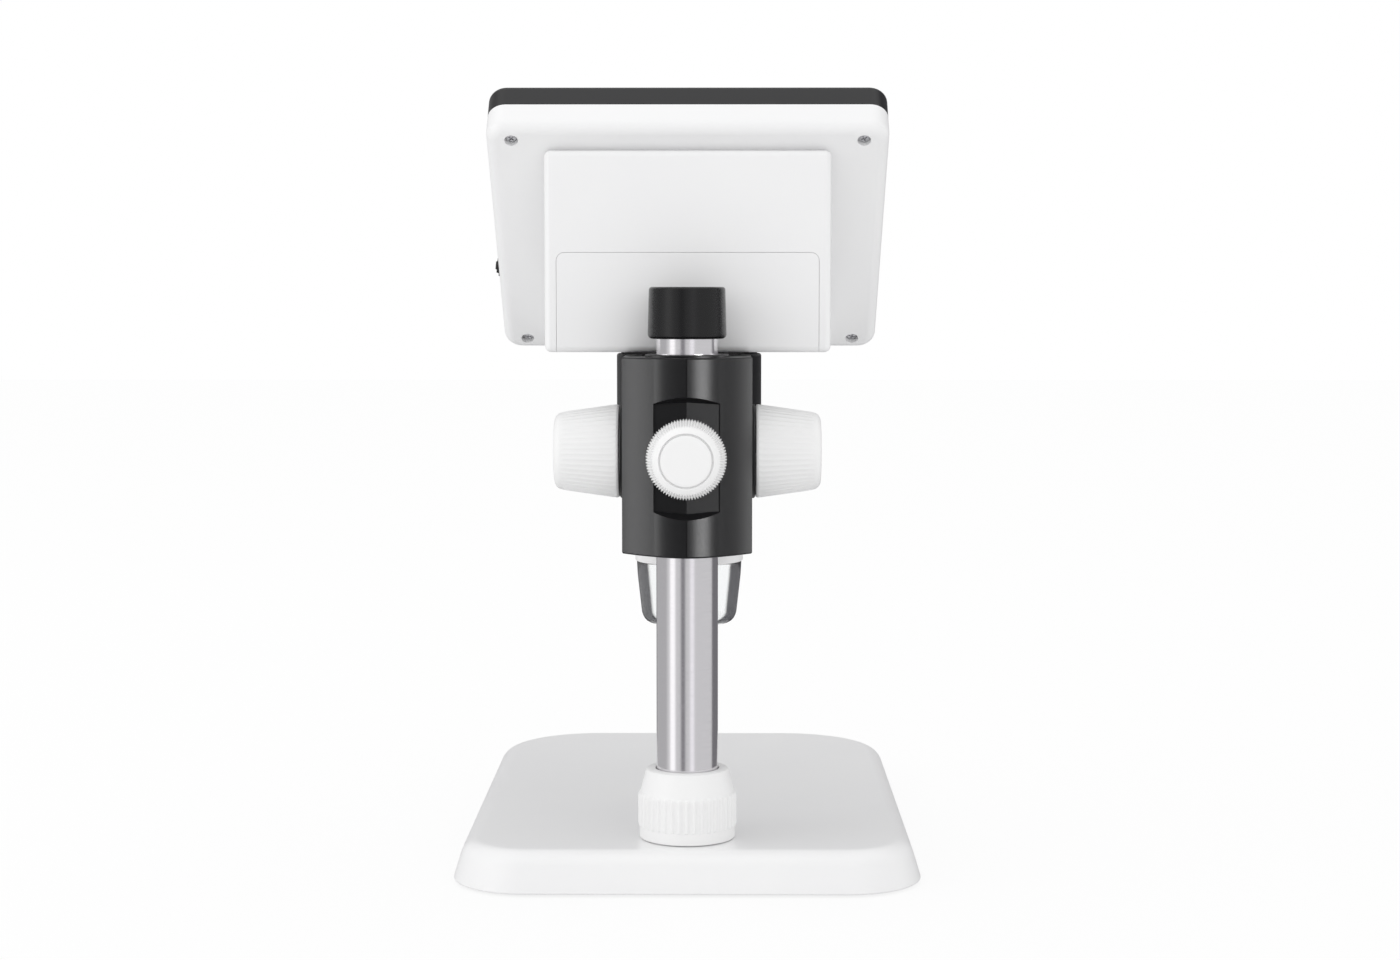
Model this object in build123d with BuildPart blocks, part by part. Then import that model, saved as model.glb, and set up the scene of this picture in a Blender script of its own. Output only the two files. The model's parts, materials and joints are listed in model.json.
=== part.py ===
from build123d import *
import os
from math import acos, atan, cos, floor, pi, radians, sin, tan

# An LCD digital microscope on its rack-and-pinion stand, in millimetres.
# +Z is up, the screen faces -Y, and the origin is the middle of the object's
# footprint on the table.

# ------------------------------------------------------------------ clearances
running = 0.05  # radial, between a part and the one that turns or slides in it
fixed_fit = 0.03  # radial, between fixed parts pushed into each other
seam = 0.15  # around a fixed part set in a recess
air = 0.3  # between curved faces that move past each other
flat_air = 0.2  # between flat faces that move past each other

# ------------------------------------------------------------------- the stand
base_width = 145.5
front_reach = 181.5  # column axis to the base's front edge
rear_reach = 24.6  # column axis to the base's rear edge
base_height = 13.2  # top face above the table
base_draft = 17.0  # lean of the side walls, degrees
base_wall = 2.2
base_edge_radius = 6.0
rear_corner = 24.0
front_corner = 38.0
foot_height = 0.8
foot_radius = 7.0
foot_recess = 1.0
foot_inset = 24.0
plate_thickness = 2.0
ballast_thickness = 5.0
ballast_width = 96.0
ballast_length = 140.0
ballast_corner = 8.0
ballast_margin = 17.5  # ballast's rear edge behind the column axis
post_radius = 4.0
post_inset_x = 15.0
post_inset_y = 45.0
base_screw_radius = 1.5
base_screw_head = 2.8
base_screw_length = 7.5

column_radius = 9.5
column_bore = 7.0
column_top = 181.8
bolt_radius = 3.0
bolt_head_radius = 5.5
bolt_head_height = 1.8
bolt_length = 18.0
plug_length = 16.0
spigot_radius = 12.2
spigot_flange = 15.0
spigot_top = 30.0
collar_radius = 14.8
collar_rim_radius = 12.4
collar_top = 35.1
collar_shoulder = 27.6
collar_rib_low = 17.2
collar_rib_radius = 0.5
collar_ribs = 40
collar_edge = 1.0
collar_lip = 4.0  # height of the lip that closes on the column
cap_low = 168.0
cap_height = 15.8
cap_radius = 12.15
cap_top_radius = 11.7
cap_plug = 8.0
cap_top_edge = 0.9
cap_low_edge = 1.4

# ------------------------------------------------------- rack, pinion and knobs
module = 0.8
pinion_teeth = 12
pressure_angle = radians(20)
backlash = 0.18
rack_addendum = 0.55
pinion_addendum = 0.8
root_clearance = 0.2
tooth_sunk = 0.1  # tooth's foot inside the pinion's body
rack_width = 6.0
rack_backing = 1.2
rack_proud = 0.8  # pitch line in front of the column's surface
pinion_width = 9.0
pinion_height = 132.5
shaft_radius = 2.5
shaft_half_length = 34.0
bush_radius = 4.0
knob_radius = 14.8
knob_end_radius = 11.9
knob_length = 20.4
knob_edge = 2.4
knob_ribs = 48
knob_rib_radius = 0.35
knob_recess_radius = 5.0
knob_recess_depth = 3.0
knob_screw_radius = 1.25
knob_screw_length = 9.0

# ---------------------------------------------------------------- the carriage
carriage_half_width = 20.0
carriage_low = 102.0
carriage_height = 60.4
carriage_front = 30.0  # column axis to the front face
wing_corner_y = 2.5
wing_middle = (15.4, 9.2)
bulge_half_width = 10.0
shoulder_y = 12.4
bulge_y = 17.0
carriage_edge = 0.6
shoulder_fillet = 0.8
front_edge_radius = 3.0
boss_proud = 1.1
rim_radius = 13.0
rim_height = 0.8
pocket_low = 115.7
pocket_high = 148.6
pocket_ridge = 1.0
pocket_ledge = 1.6
groove = 0.4
lock_radius = 11.85
lock_face_radius = 10.0
lock_rim_y = 21.0
lock_length = 10.5
lock_hub_radius = 5.0
lock_hub_start = 14.0
lock_skirt_start = 19.6
lock_knurl_length = 4.0
lock_disc_radius = 7.9
lock_bevel = 0.8
lock_shoulder = 2.2
lock_face_sunk = 0.9
lock_face_bevel = 1.2
lock_groove_depth = 0.5
lock_groove_width = 0.3
lock_disc_bevel = 0.8
lock_disc_round = 0.1
lock_ribs = 60
lock_rib_radius = 0.3
lock_screw_radius = 2.5
lock_screw_end = 28.0
insert_radius = 4.0
insert_start = 9.9  # column axis to the insert's inner end
ring_screw_radius = 1.5
ring_screw_head = 2.9
ring_screw_head_height = 2.0
ring_screw_sunk = 2.6  # head seat below the ring's bore
ring_screw_length = 13.0
ring_screw_inset = 8.0
arm_half_width = 14.0

# ------------------------------------------------------------------- the barrel
barrel_reach = 59.2  # column axis to the barrel's axis
ring_radius = 23.9
ring_low = 128.0
ring_high = 162.0
ring_edge = 0.8
liner_wall = 1.05
liner_flange_radius = 22.5
barrel_radius = 18.5
barrel_neck_radius = 16.4
barrel_neck_top = 124.0
barrel_neck_wall = 1.0
barrel_flange_radius = 21.5
barrel_flange = 2.0
barrel_bore = 16.0
barrel_low = 94.0
lens_guide_low = 98.0
lens_guide_top = 118.0
sensor_ledge = 128.0
ledge_bore = 13.0
focus_ring_radius = 17.8
focus_ribs = 36
focus_rib_radius = 0.35
focus_range = 270.0  # turn of the focus ring that lifts the lens by its travel
cam_pin_radius = 1.1
cam_pin_height = 108.0
cam_depth = 0.7  # groove in the focus ring's bore
cam_margin = 12.0  # groove past each end of the pin's travel, degrees
lip_radius = 17.9
lip_low = 91.0
lip_high = 99.0
lip_edge = 0.5
shield_radius = 17.4
shield_waist_radius = 15.7
shield_waist = 76.0
shield_mouth_radius = 13.2
shield_low = 71.3
shield_wall = 2.0
shield_neck_height = 3.0
shield_foot_out = 0.75  # middle of the foot's curve, as shares of its width and height
shield_foot_up = 0.35
lens_radius = 9.0
lens_length = 15.0
lens_travel = 4.0
lens_bore = 6.5
lens_thickness = 2.4
lens_bulge = 0.8
lens_seat = 3.0  # from each end of the cell to its lens
led_board_radius = 15.2
led_board_hole = 6.0
led_board_thickness = 1.2
led_circle = 11.0
led_radius = 1.5
led_height = 2.2
led_count = 8
led_dome = 0.9
sensor_size = 10.0
sensor_height = 1.2
board_thickness = 1.6
ribbon_width = 12.0
ribbon_thickness = 0.4

# --------------------------------------------------------------------- the head
tilt = 45.0  # screen normal above the horizontal, degrees
head_width = 126.0
head_depth = 100.0  # along the slope
head_corner = 6.0
shell_thickness = 10.7
bezel_thickness = 9.5
head_wall = 2.2
shell_edge = 3.5
bezel_edge = 2.5
slope_reach = 48.5  # column axis to the middle of the slab's back
slope_height = 197.8  # middle of the slab's back above the table
box_half_width = 44.8
box_reach = 15.5  # column axis to the box's rear face
box_low = 163.4
box_high = 226.2
box_rear_wall = 4.4
box_edge = 2.0
cover_margin = 3.75  # cover's side to the box's side
cover_high = 194.5
cover_thickness = 2.0
cover_corner = 2.5
battery_radius = 9.2
battery_half_length = 32.5
battery_height = 179.0
battery_edge = 0.8
tray_wall = 1.4
tray_play = 0.6  # around the battery
contact_gap = 2.5  # from each end of the battery to the tray
contact_plate = 0.5
contact_radius = 6.0
spring_radius = 3.0
hatch_lip = 1.5  # how far the tray laps the hatch in the rear wall
cover_rim = 1.4  # step on the cover's inner face, inside the hatch

case_screw_inset_x = 8.0
case_screw_inset_u = 5.6
case_screw_radius = 1.25
case_screw_head = 2.3
case_screw_head_height = 1.4
case_screw_recess = 2.0
case_screw_length = 13.0
case_screw_play = 0.4  # around the head
case_cross_length = 2.8
case_cross_width = 0.5
case_tube_radius = 4.2
case_tube_top = 9.0
case_post_radius = 2.4
case_lip = 1.2  # wall of the bezel's lip inside the shell

glass_margin = 10.0  # glass's side to the head's side
glass_height = 68.0
glass_thickness = 1.1
glass_corner = 2.0
window_margin_x = 4.5  # window's side inside the glass's side
window_margin_u = 6.0
panel_inset = 0.4  # panel's edge inside the glass's edge
panel_thickness = 3.0
frame_wall = 1.6
frame_floor = 1.2
screen_u = 9.5  # screen centre above the slab's middle

button_count = 7
button_margin = 22.2  # middle of the last button to the head's side
button_u = -35.5
button_length = 9.5
button_width = 5.5
button_proud = 0.8
button_travel = 0.5
button_play = 0.25
button_flange = 0.8  # flange past the cap all round
button_flange_thickness = 1.0
switch_height = 1.6
plunger_height = 0.5
plunger_radius = 1.2
switch_size = 4.5
button_board_thickness = 1.2
button_board_width = 10.0
button_post_radius = 2.0

board_low = 8.0  # main board above the slab's back
main_board_gap = 1.8  # main board's end to the shell's inner wall
main_board_height = 64.0
main_board_u = 4.0
board_boss_inset_x = 10.0
board_boss_inset_u = 4.0
board_boss_radius = 3.0
stake_radius = 1.2
stake_height = 0.6  # stake's end past the board
chip_height = 1.4
processor_size = 14.0
processor_x = -8.0
processor_u = 6.0
memory_width = 8.0
memory_length = 11.0
memory_x = 14.0
memory_u = 8.0

wheel_radius = 6.5
wheel_proud = 1.2
wheel_low = 3.2
wheel_thickness = 2.4
wheel_u = -14.9
wheel_shaft_radius = 1.5
wheel_shaft_length = 2.0
wheel_ribs = 24
wheel_rib_radius = 0.3
pot_size = 5.6
usb_width = 7.5
usb_height = 2.6
usb_depth = 5.6
usb_u = 14.0
card_width = 12.0
card_height = 1.9
card_depth = 14.0
card_u = -8.0
port_wall = 0.3
port_sink = 0.5  # socket's mouth behind the wall's outer face
port_play = 0.4
tongue_thickness = 0.7
tongue_short = 1.0  # tongue's end inside the socket's mouth

# ---------------------------------------------------------- positions worked out
lock_reach = lock_rim_y + lock_length  # column axis to the lock knob's face
column_y = (front_reach - lock_reach) / 2
base_length = front_reach + rear_reach
base_middle = column_y + (rear_reach - front_reach) / 2
shell_height = base_height - foot_height
cavity_top = base_height - base_wall
plate_top = foot_height + plate_thickness
ballast_top = plate_top + ballast_thickness
column_length = column_top - ballast_top

tooth_pitch = pi * module
pinion_radius = module * pinion_teeth / 2
rack_pitch_y = column_y - column_radius - rack_proud
rack_tip_y = rack_pitch_y - rack_addendum
rack_root_y = rack_pitch_y + pinion_addendum + root_clearance
rack_back_y = rack_root_y + rack_backing
pinion_y = rack_pitch_y - pinion_radius
boss_face = carriage_half_width + boss_proud
knob_start = boss_face + flat_air

carriage_high = carriage_low + carriage_height
barrel_y = column_y - barrel_reach
liner_radius = barrel_radius + running + liner_wall
ring_bore = liner_radius + running
carriage_front_y = column_y - carriage_front
ring_screw_seat = barrel_y + ring_bore + ring_screw_sunk
ring_screw_reach = ring_screw_length - (carriage_front_y - ring_screw_seat)
ring_screw_spots = [(0, ring_low + ring_screw_inset), (0, ring_high - ring_screw_inset)]
barrel_flange_low = box_low + head_wall
barrel_top = barrel_flange_low + barrel_flange
lens_low = lens_guide_low + air
lens_high = lens_low + lens_length
focus_ring_low = lip_high + flat_air
focus_ring_high = barrel_neck_top - flat_air
neck_bore = barrel_neck_radius - barrel_neck_wall
sensor_board_top = sensor_ledge + board_thickness

lean = radians(tilt)
slope_y = column_y - slope_reach
slab_back = Plane(
    origin=(0, slope_y, slope_height),
    x_dir=(1, 0, 0),
    z_dir=(0, -cos(lean), sin(lean)),
)
slab_normal = Axis(slab_back.origin, slab_back.z_dir)
head_thickness = shell_thickness + bezel_thickness
bezel_inner = head_thickness - head_wall
inner_width = head_width - 2 * head_wall
inner_depth = head_depth - 2 * head_wall
inner_corner = head_corner - head_wall
glass_width = head_width - 2 * glass_margin
window_width = glass_width - 2 * window_margin_x
window_height = glass_height - 2 * window_margin_u
panel_width = glass_width - 2 * panel_inset
panel_height = glass_height - 2 * panel_inset
panel_low = bezel_inner - panel_thickness
main_board_width = inner_width - 2 * main_board_gap
board_boss_x = main_board_width / 2 - board_boss_inset_x
board_boss_u = main_board_height / 2 - board_boss_inset_u
case_screw_x = head_width / 2 - case_screw_inset_x
case_screw_u = head_depth / 2 - case_screw_inset_u
button_pitch = (head_width - 2 * button_margin) / (button_count - 1)

box_face_y = column_y - box_reach
box_inner_y = box_face_y - box_rear_wall
box_floor = box_low + head_wall
cover_half_width = box_half_width - cover_margin
box_ceiling = box_high - head_wall
box_rear = Plane(origin=(0, box_face_y, 0), x_dir=(-1, 0, 0), z_dir=(0, 1, 0))
tray_half_length = battery_half_length + contact_gap + tray_wall
tray_half_height = battery_radius + tray_play + tray_wall
tray_depth = 2 * (battery_radius + tray_play) + tray_wall
hatch_half_length = tray_half_length - hatch_lip
hatch_half_height = tray_half_height - hatch_lip
battery_y = box_inner_y - tray_play - battery_radius

screw_spots = [(sx * case_screw_x, su * case_screw_u) for sx in (-1, 1) for su in (-1, 1)]
stake_spots = [
    (sx * board_boss_x, main_board_u + su * board_boss_u) for sx in (-1, 1) for su in (-1, 1)
]
button_spots = [(button_pitch * (n - (button_count - 1) / 2), button_u) for n in range(button_count)]
button_flange_top = bezel_inner - flat_air
button_flange_low = button_flange_top - button_flange_thickness
plunger_top = button_flange_low - button_travel - flat_air
button_board_top = plunger_top - plunger_height - switch_height
button_row_half = button_spots[-1][0] + button_length / 2 + button_flange
button_post_x = button_row_half + air + button_post_radius
button_board_length = 2 * (button_post_x + button_post_radius)
wheel_x = head_width / 2 + wheel_proud - wheel_radius
port_mouth_x = -(head_width / 2 - port_sink)
ports = {
    "usb": (usb_u, usb_width, usb_height, usb_depth),
    "card": (card_u, card_width, card_height, card_depth),
}

os.makedirs("parts", exist_ok=True)


def save(piece, name):
    """Label a finished piece and write it as one STEP file."""
    piece.part.label = name
    export_step(piece.part, f"parts/{name}.step")


def across(x):
    """Plane across the pinion's axis, at x."""
    return Plane(origin=(x, pinion_y, pinion_height), x_dir=(0, 1, 0), z_dir=(1, 0, 0))


def rearward(reach):
    """Plane across the lock screw's axis, at a distance behind the column axis."""
    return Plane(origin=(0, column_y + reach, pinion_height), x_dir=(-1, 0, 0), z_dir=(0, 1, 0))


def on_column(height):
    """Level plane centred on the column."""
    return Plane(origin=(0, column_y, height))


def on_barrel(height):
    """Level plane centred on the barrel."""
    return Plane(origin=(0, barrel_y, height))


def on_slab(depth):
    """Plane along the slab, at a depth in front of its back."""
    return slab_back.offset(depth)


def slab_at(height, depth):
    """Side-view point of the slab at a height and a depth in front of its back."""
    along = (height - slope_height - depth * sin(lean)) / cos(lean)
    return (slope_y + along * sin(lean) - depth * cos(lean), height)


def slab_over(y, depth):
    """Side-view point of the slab above a y and at a depth in front of its back."""
    along = (y - slope_y + depth * cos(lean)) / sin(lean)
    return (y, slope_height + along * cos(lean) + depth * sin(lean))


def base_outline(inset, height):
    """The base's rounded outline, drawn in all round by inset."""
    with BuildSketch(Plane.XY.offset(height)) as outline:
        with Locations((0, base_middle)):
            Rectangle(base_width - 2 * inset, base_length - 2 * inset)
        fillet(outline.vertices().group_by(Axis.Y)[-1], rear_corner - inset)
        fillet(outline.vertices().group_by(Axis.Y)[0], front_corner - inset)
    return outline.sketch


# ------------------------------------------------------------------------- base
post_spots = [
    (sx * (base_width / 2 - post_inset_x), base_middle + sy * (base_length / 2 - post_inset_y))
    for sx in (-1, 1)
    for sy in (-1, 1)
]
foot_spots = [
    (sx * (base_width / 2 - foot_inset), base_middle + sy * (base_length / 2 - foot_inset))
    for sx in (-1, 1)
    for sy in (-1, 1)
]

with BuildPart() as base_hollow:
    extrude(base_outline(base_wall, foot_height), amount=cavity_top - foot_height, taper=base_draft)
    fillet(base_hollow.faces().sort_by(Axis.Z)[-1].edges(), base_edge_radius - base_wall)

with BuildPart() as base_shell:
    extrude(base_outline(0, foot_height), amount=shell_height, taper=base_draft)
    fillet(base_shell.faces().sort_by(Axis.Z)[-1].edges(), base_edge_radius)
    add(base_hollow.part, mode=Mode.SUBTRACT)
    with BuildSketch(Plane.XY.offset(plate_top)):
        with Locations(*post_spots):
            Circle(post_radius)
    extrude(amount=cavity_top - plate_top)
    with BuildSketch(Plane.XY.offset(plate_top)):
        with Locations(*post_spots):
            Circle(base_screw_radius + fixed_fit)
    extrude(amount=base_screw_length - plate_thickness + seam, mode=Mode.SUBTRACT)
    with BuildSketch(on_column(cavity_top)):
        Circle(spigot_radius + seam)
    extrude(amount=base_wall, mode=Mode.SUBTRACT)

with BuildPart() as base_plate:
    extrude(base_outline(base_wall + seam, foot_height), amount=plate_thickness, taper=base_draft)
    with BuildSketch(Plane.XY.offset(foot_height)):
        with Locations(*foot_spots):
            Circle(foot_radius + fixed_fit)
    extrude(amount=foot_recess, mode=Mode.SUBTRACT)
    with Locations(*[(x, y, foot_height) for x, y in post_spots]):
        Cone(
            base_screw_head + seam,
            base_screw_radius + seam,
            plate_thickness,
            align=(Align.CENTER, Align.CENTER, Align.MIN),
            mode=Mode.SUBTRACT,
        )
    with BuildSketch(on_column(foot_height)):
        Circle(bolt_head_radius + 2 * seam)
    extrude(amount=plate_thickness, mode=Mode.SUBTRACT)

with BuildPart() as ballast_plate:
    with BuildSketch(Plane.XY.offset(plate_top)):
        with Locations((0, column_y + ballast_margin - ballast_length / 2)):
            RectangleRounded(ballast_width, ballast_length, ballast_corner)
    extrude(amount=ballast_thickness)
    with BuildSketch(on_column(plate_top)):
        Circle(bolt_radius + seam)
    extrude(amount=ballast_thickness, mode=Mode.SUBTRACT)

with BuildPart() as rubber_feet:
    with BuildSketch(Plane.XY):
        with Locations(*foot_spots):
            Circle(foot_radius)
    extrude(amount=foot_height + foot_recess)
    fillet(rubber_feet.edges().group_by(Axis.Z)[0], foot_height / 2)

with BuildPart() as base_screws:
    with Locations(*[(x, y, foot_height + seam) for x, y in post_spots]):
        Cone(
            base_screw_head,
            base_screw_radius,
            plate_thickness - seam,
            align=(Align.CENTER, Align.CENTER, Align.MIN),
        )
        Cylinder(
            base_screw_radius,
            base_screw_length,
            align=(Align.CENTER, Align.CENTER, Align.MIN),
        )

with BuildPart() as column_spigot:
    with BuildSketch(on_column(ballast_top)):
        Circle(spigot_flange)
    extrude(amount=cavity_top - ballast_top)
    with BuildSketch(on_column(cavity_top)):
        Circle(spigot_radius)
    extrude(amount=spigot_top - cavity_top)
    with BuildSketch(on_column(ballast_top)):
        Circle(column_radius + fixed_fit)
    extrude(amount=spigot_top - ballast_top, mode=Mode.SUBTRACT)
    chamfer(column_spigot.faces().sort_by(Axis.Z)[-1].edges().sort_by(SortBy.LENGTH)[-1], air)

# ----------------------------------------------------------------------- column
teeth_down = floor((pinion_height - collar_top - tooth_pitch) / tooth_pitch)
teeth_up = floor((cap_low - pinion_height - tooth_pitch) / tooth_pitch)
rack_low = pinion_height - teeth_down * tooth_pitch
rack_high = pinion_height + teeth_up * tooth_pitch

with BuildPart() as column_tube:
    with BuildSketch(on_column(ballast_top)):
        Circle(column_radius)
        Circle(column_bore, mode=Mode.SUBTRACT)
    extrude(amount=column_length)
    with BuildSketch(on_column(rack_low - seam)):
        with Locations((0, rack_back_y - column_y)):
            Rectangle(rack_width + 2 * fixed_fit, column_radius, align=(Align.CENTER, Align.MAX))
    extrude(amount=rack_high - rack_low + 2 * seam, mode=Mode.SUBTRACT)

with BuildPart() as column_plug:
    with BuildSketch(on_column(ballast_top)):
        Circle(column_bore - fixed_fit)
        Circle(bolt_radius + fixed_fit, mode=Mode.SUBTRACT)
    extrude(amount=plug_length)

with BuildPart() as column_bolt:
    with BuildSketch(on_column(plate_top - bolt_head_height)):
        Circle(bolt_head_radius)
        RegularPolygon(bolt_radius - 2 * seam, 6, mode=Mode.SUBTRACT)
    extrude(amount=bolt_head_height)
    with BuildSketch(on_column(plate_top)):
        Circle(bolt_radius)
    extrude(amount=bolt_length)

tooth_half = tooth_pitch / 4 - backlash / 4
tip_half = tooth_half - rack_addendum * tan(pressure_angle)
root_half = tooth_half + (pinion_addendum + root_clearance) * tan(pressure_angle)

with BuildPart() as gear_rack:
    with BuildSketch(Plane.YZ.offset(-rack_width / 2)):
        with Locations((rack_root_y, rack_low)):
            Rectangle(rack_backing, rack_high - rack_low, align=Align.MIN)
        for tooth in range(-teeth_down, teeth_up):
            middle = pinion_height + (tooth + 0.5) * tooth_pitch
            Polygon(
                (rack_root_y, middle - root_half),
                (rack_root_y, middle + root_half),
                (rack_tip_y, middle + tip_half),
                (rack_tip_y, middle - tip_half),
                align=None,
            )
    extrude(amount=rack_width)

with BuildPart() as top_cap:
    with BuildSketch(on_column(cap_low)):
        Circle(cap_radius)
    with BuildSketch(on_column(cap_low + cap_height)):
        Circle(cap_top_radius)
    loft()
    fillet(top_cap.edges().filter_by(GeomType.CIRCLE).sort_by(Axis.Z)[-1], cap_top_edge)
    fillet(top_cap.edges().filter_by(GeomType.CIRCLE).sort_by(Axis.Z)[0], cap_low_edge)
    with BuildSketch(on_column(cap_low)):
        Circle(column_radius + fixed_fit)
    extrude(amount=column_top + seam - cap_low, mode=Mode.SUBTRACT)
    with BuildSketch(on_column(column_top - cap_plug)):
        Circle(column_bore - fixed_fit)
    extrude(amount=cap_plug + 2 * seam)

# ----------------------------------------------------------- collar nut of stand
with BuildPart() as collar_nut:
    with BuildSketch(Plane(origin=(0, column_y, 0), x_dir=(1, 0, 0), z_dir=(0, -1, 0))):
        with BuildLine():
            Polyline(
                (spigot_radius + running, base_height + flat_air),
                (collar_radius, base_height + flat_air),
                (collar_radius, collar_shoulder),
                (collar_rim_radius, collar_top),
                (column_radius + air, collar_top),
                (column_radius + air, collar_top - collar_lip),
                (spigot_radius + running, collar_top - collar_lip),
                close=True,
            )
        make_face()
    revolve(axis=Axis((0, column_y, 0), (0, 0, 1)))
    collar_rim = collar_nut.faces().sort_by(Axis.Z)[-1].edges().sort_by(SortBy.LENGTH)[-1]
    fillet(collar_rim, collar_edge)
    with BuildSketch(on_column(collar_rib_low)):
        with PolarLocations(collar_radius, collar_ribs):
            Circle(collar_rib_radius)
    extrude(amount=collar_shoulder - collar_rib_low)

# --------------------------------------------------------------------- carriage
with BuildPart() as carriage_body:
    with BuildSketch(on_column(carriage_low)):
        with BuildLine():
            ThreePointArc((-bulge_half_width, shoulder_y), (0, bulge_y), (bulge_half_width, shoulder_y))
            for side in (-1, 1):
                ThreePointArc(
                    (side * bulge_half_width, shoulder_y),
                    (side * wing_middle[0], wing_middle[1]),
                    (side * carriage_half_width, wing_corner_y),
                )
            Polyline(
                (carriage_half_width, wing_corner_y),
                (carriage_half_width, -carriage_front),
                (-carriage_half_width, -carriage_front),
                (-carriage_half_width, wing_corner_y),
            )
        make_face()
    extrude(amount=carriage_height)
    fillet(carriage_body.edges().filter_by(Axis.Z).group_by(Axis.Y)[0], front_edge_radius)
    fillet(carriage_body.edges().filter_by(Axis.Z).group_by(Axis.Y)[-1], shoulder_fillet)
    chamfer(carriage_body.faces().sort_by(Axis.Z)[-1].edges(), carriage_edge)
    chamfer(carriage_body.faces().sort_by(Axis.Z)[0].edges(), carriage_edge)
    with BuildSketch(across(-boss_face)):
        Circle(knob_radius)
    extrude(amount=2 * boss_face)
    with BuildSketch(on_column(carriage_high - rim_height)):
        Circle(rim_radius)
    extrude(amount=2 * rim_height)
    # bore for the column, slot for the rack, room for the pinion and its shaft
    with BuildSketch(on_column(carriage_low)):
        Circle(column_radius + running)
        with Locations((0, rack_tip_y - column_y - air)):
            Rectangle(rack_width + 2 * air, column_radius, align=(Align.CENTER, Align.MIN))
    extrude(amount=carriage_height + rim_height, mode=Mode.SUBTRACT)
    with BuildSketch(across(-pinion_width / 2 - air)):
        Circle(pinion_radius + pinion_addendum + air)
    extrude(amount=pinion_width + 2 * air, mode=Mode.SUBTRACT)
    with BuildSketch(across(-boss_face)):
        Circle(bush_radius + fixed_fit)
    extrude(amount=2 * boss_face, mode=Mode.SUBTRACT)
    # sunk rear pocket with sloping ledges, and its shallow middle ridge
    with BuildSketch(Plane.YZ.offset(-carriage_half_width)):
        Polygon(
            (column_y + shoulder_y, pocket_low),
            (column_y + shoulder_y, pocket_high),
            (column_y + bulge_y + pocket_ridge, pocket_high + pocket_ledge),
            (column_y + bulge_y + pocket_ridge, pocket_low - pocket_ledge),
            align=None,
        )
    extrude(amount=2 * carriage_half_width, mode=Mode.SUBTRACT)
    with BuildSketch(on_column(pocket_low)):
        Polygon(
            (-bulge_half_width, shoulder_y),
            (bulge_half_width, shoulder_y),
            (0, shoulder_y + pocket_ridge),
            align=None,
        )
    extrude(amount=pocket_high - pocket_low)
    # seam line down the bulge, hole for the lock insert, holes for the ring screws
    with BuildSketch(on_column(carriage_low)):
        with Locations((0, bulge_y)):
            Rectangle(groove, 2 * groove)
    extrude(amount=carriage_height, mode=Mode.SUBTRACT)
    with BuildSketch(rearward(0)):
        Circle(insert_radius + fixed_fit)
    extrude(amount=bulge_y, mode=Mode.SUBTRACT)
    with BuildSketch(Plane.XZ.offset(-carriage_front_y)):
        with Locations(*ring_screw_spots):
            Circle(ring_screw_radius + fixed_fit)
    extrude(amount=-(ring_screw_reach + seam), mode=Mode.SUBTRACT)

with BuildPart() as shaft_bushes:
    for side in (-1, 1):
        with BuildSketch(across(side * (pinion_width / 2 + air))):
            Circle(bush_radius)
            Circle(shaft_radius + running, mode=Mode.SUBTRACT)
        extrude(amount=side * (boss_face - pinion_width / 2 - air))

with BuildPart() as lock_insert:
    with BuildSketch(rearward(insert_start)):
        Circle(insert_radius)
        Circle(lock_screw_radius + running, mode=Mode.SUBTRACT)
    extrude(amount=shoulder_y - insert_start)

with BuildPart() as barrel_ring:
    with BuildSketch(on_barrel(ring_low)):
        Circle(ring_radius)
        Rectangle(2 * arm_half_width, barrel_reach - carriage_front, align=(Align.CENTER, Align.MIN))
        Circle(ring_bore, mode=Mode.SUBTRACT)
    extrude(amount=ring_high - ring_low)
    for end in (-1, 0):
        ring_rim = barrel_ring.faces().sort_by(Axis.Z)[end].outer_wire().edges()
        chamfer(ring_rim.filter_by(GeomType.CIRCLE), ring_edge)
    with BuildSketch(Plane.XZ.offset(-ring_screw_seat)):
        with Locations(*ring_screw_spots):
            Circle(ring_screw_head + seam)
    extrude(amount=2 * ring_screw_sunk, mode=Mode.SUBTRACT)
    with BuildSketch(Plane.XZ.offset(-ring_screw_seat)):
        with Locations(*ring_screw_spots):
            Circle(ring_screw_radius + seam)
    extrude(amount=ring_screw_seat - carriage_front_y, mode=Mode.SUBTRACT)

with BuildPart() as ring_screws:
    with BuildSketch(Plane.XZ.offset(-ring_screw_seat)):
        with Locations(*ring_screw_spots):
            Circle(ring_screw_head)
            RegularPolygon(ring_screw_radius, 6, mode=Mode.SUBTRACT)
    extrude(amount=ring_screw_head_height)
    with BuildSketch(Plane.XZ.offset(-ring_screw_seat)):
        with Locations(*ring_screw_spots):
            Circle(ring_screw_radius)
    extrude(amount=-ring_screw_length)

# -------------------------------------------------------------- pinion and knobs
base_circle = pinion_radius * cos(pressure_angle)


def involute(angle):
    """Involute function of a pressure angle."""
    return tan(angle) - angle


def tooth_half_angle(radius):
    """Half the angle that a pinion tooth covers at a radius."""
    at_pitch = tooth_half / pinion_radius + involute(pressure_angle)
    if radius <= base_circle:
        return at_pitch
    return at_pitch - involute(acos(base_circle / radius))


tooth_root = pinion_radius - rack_addendum - root_clearance
tooth_tip = pinion_radius + pinion_addendum
flank_steps = 6
flank = [tooth_root - tooth_sunk] + [
    base_circle + (tooth_tip - base_circle) * step / flank_steps for step in range(flank_steps + 1)
]

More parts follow.
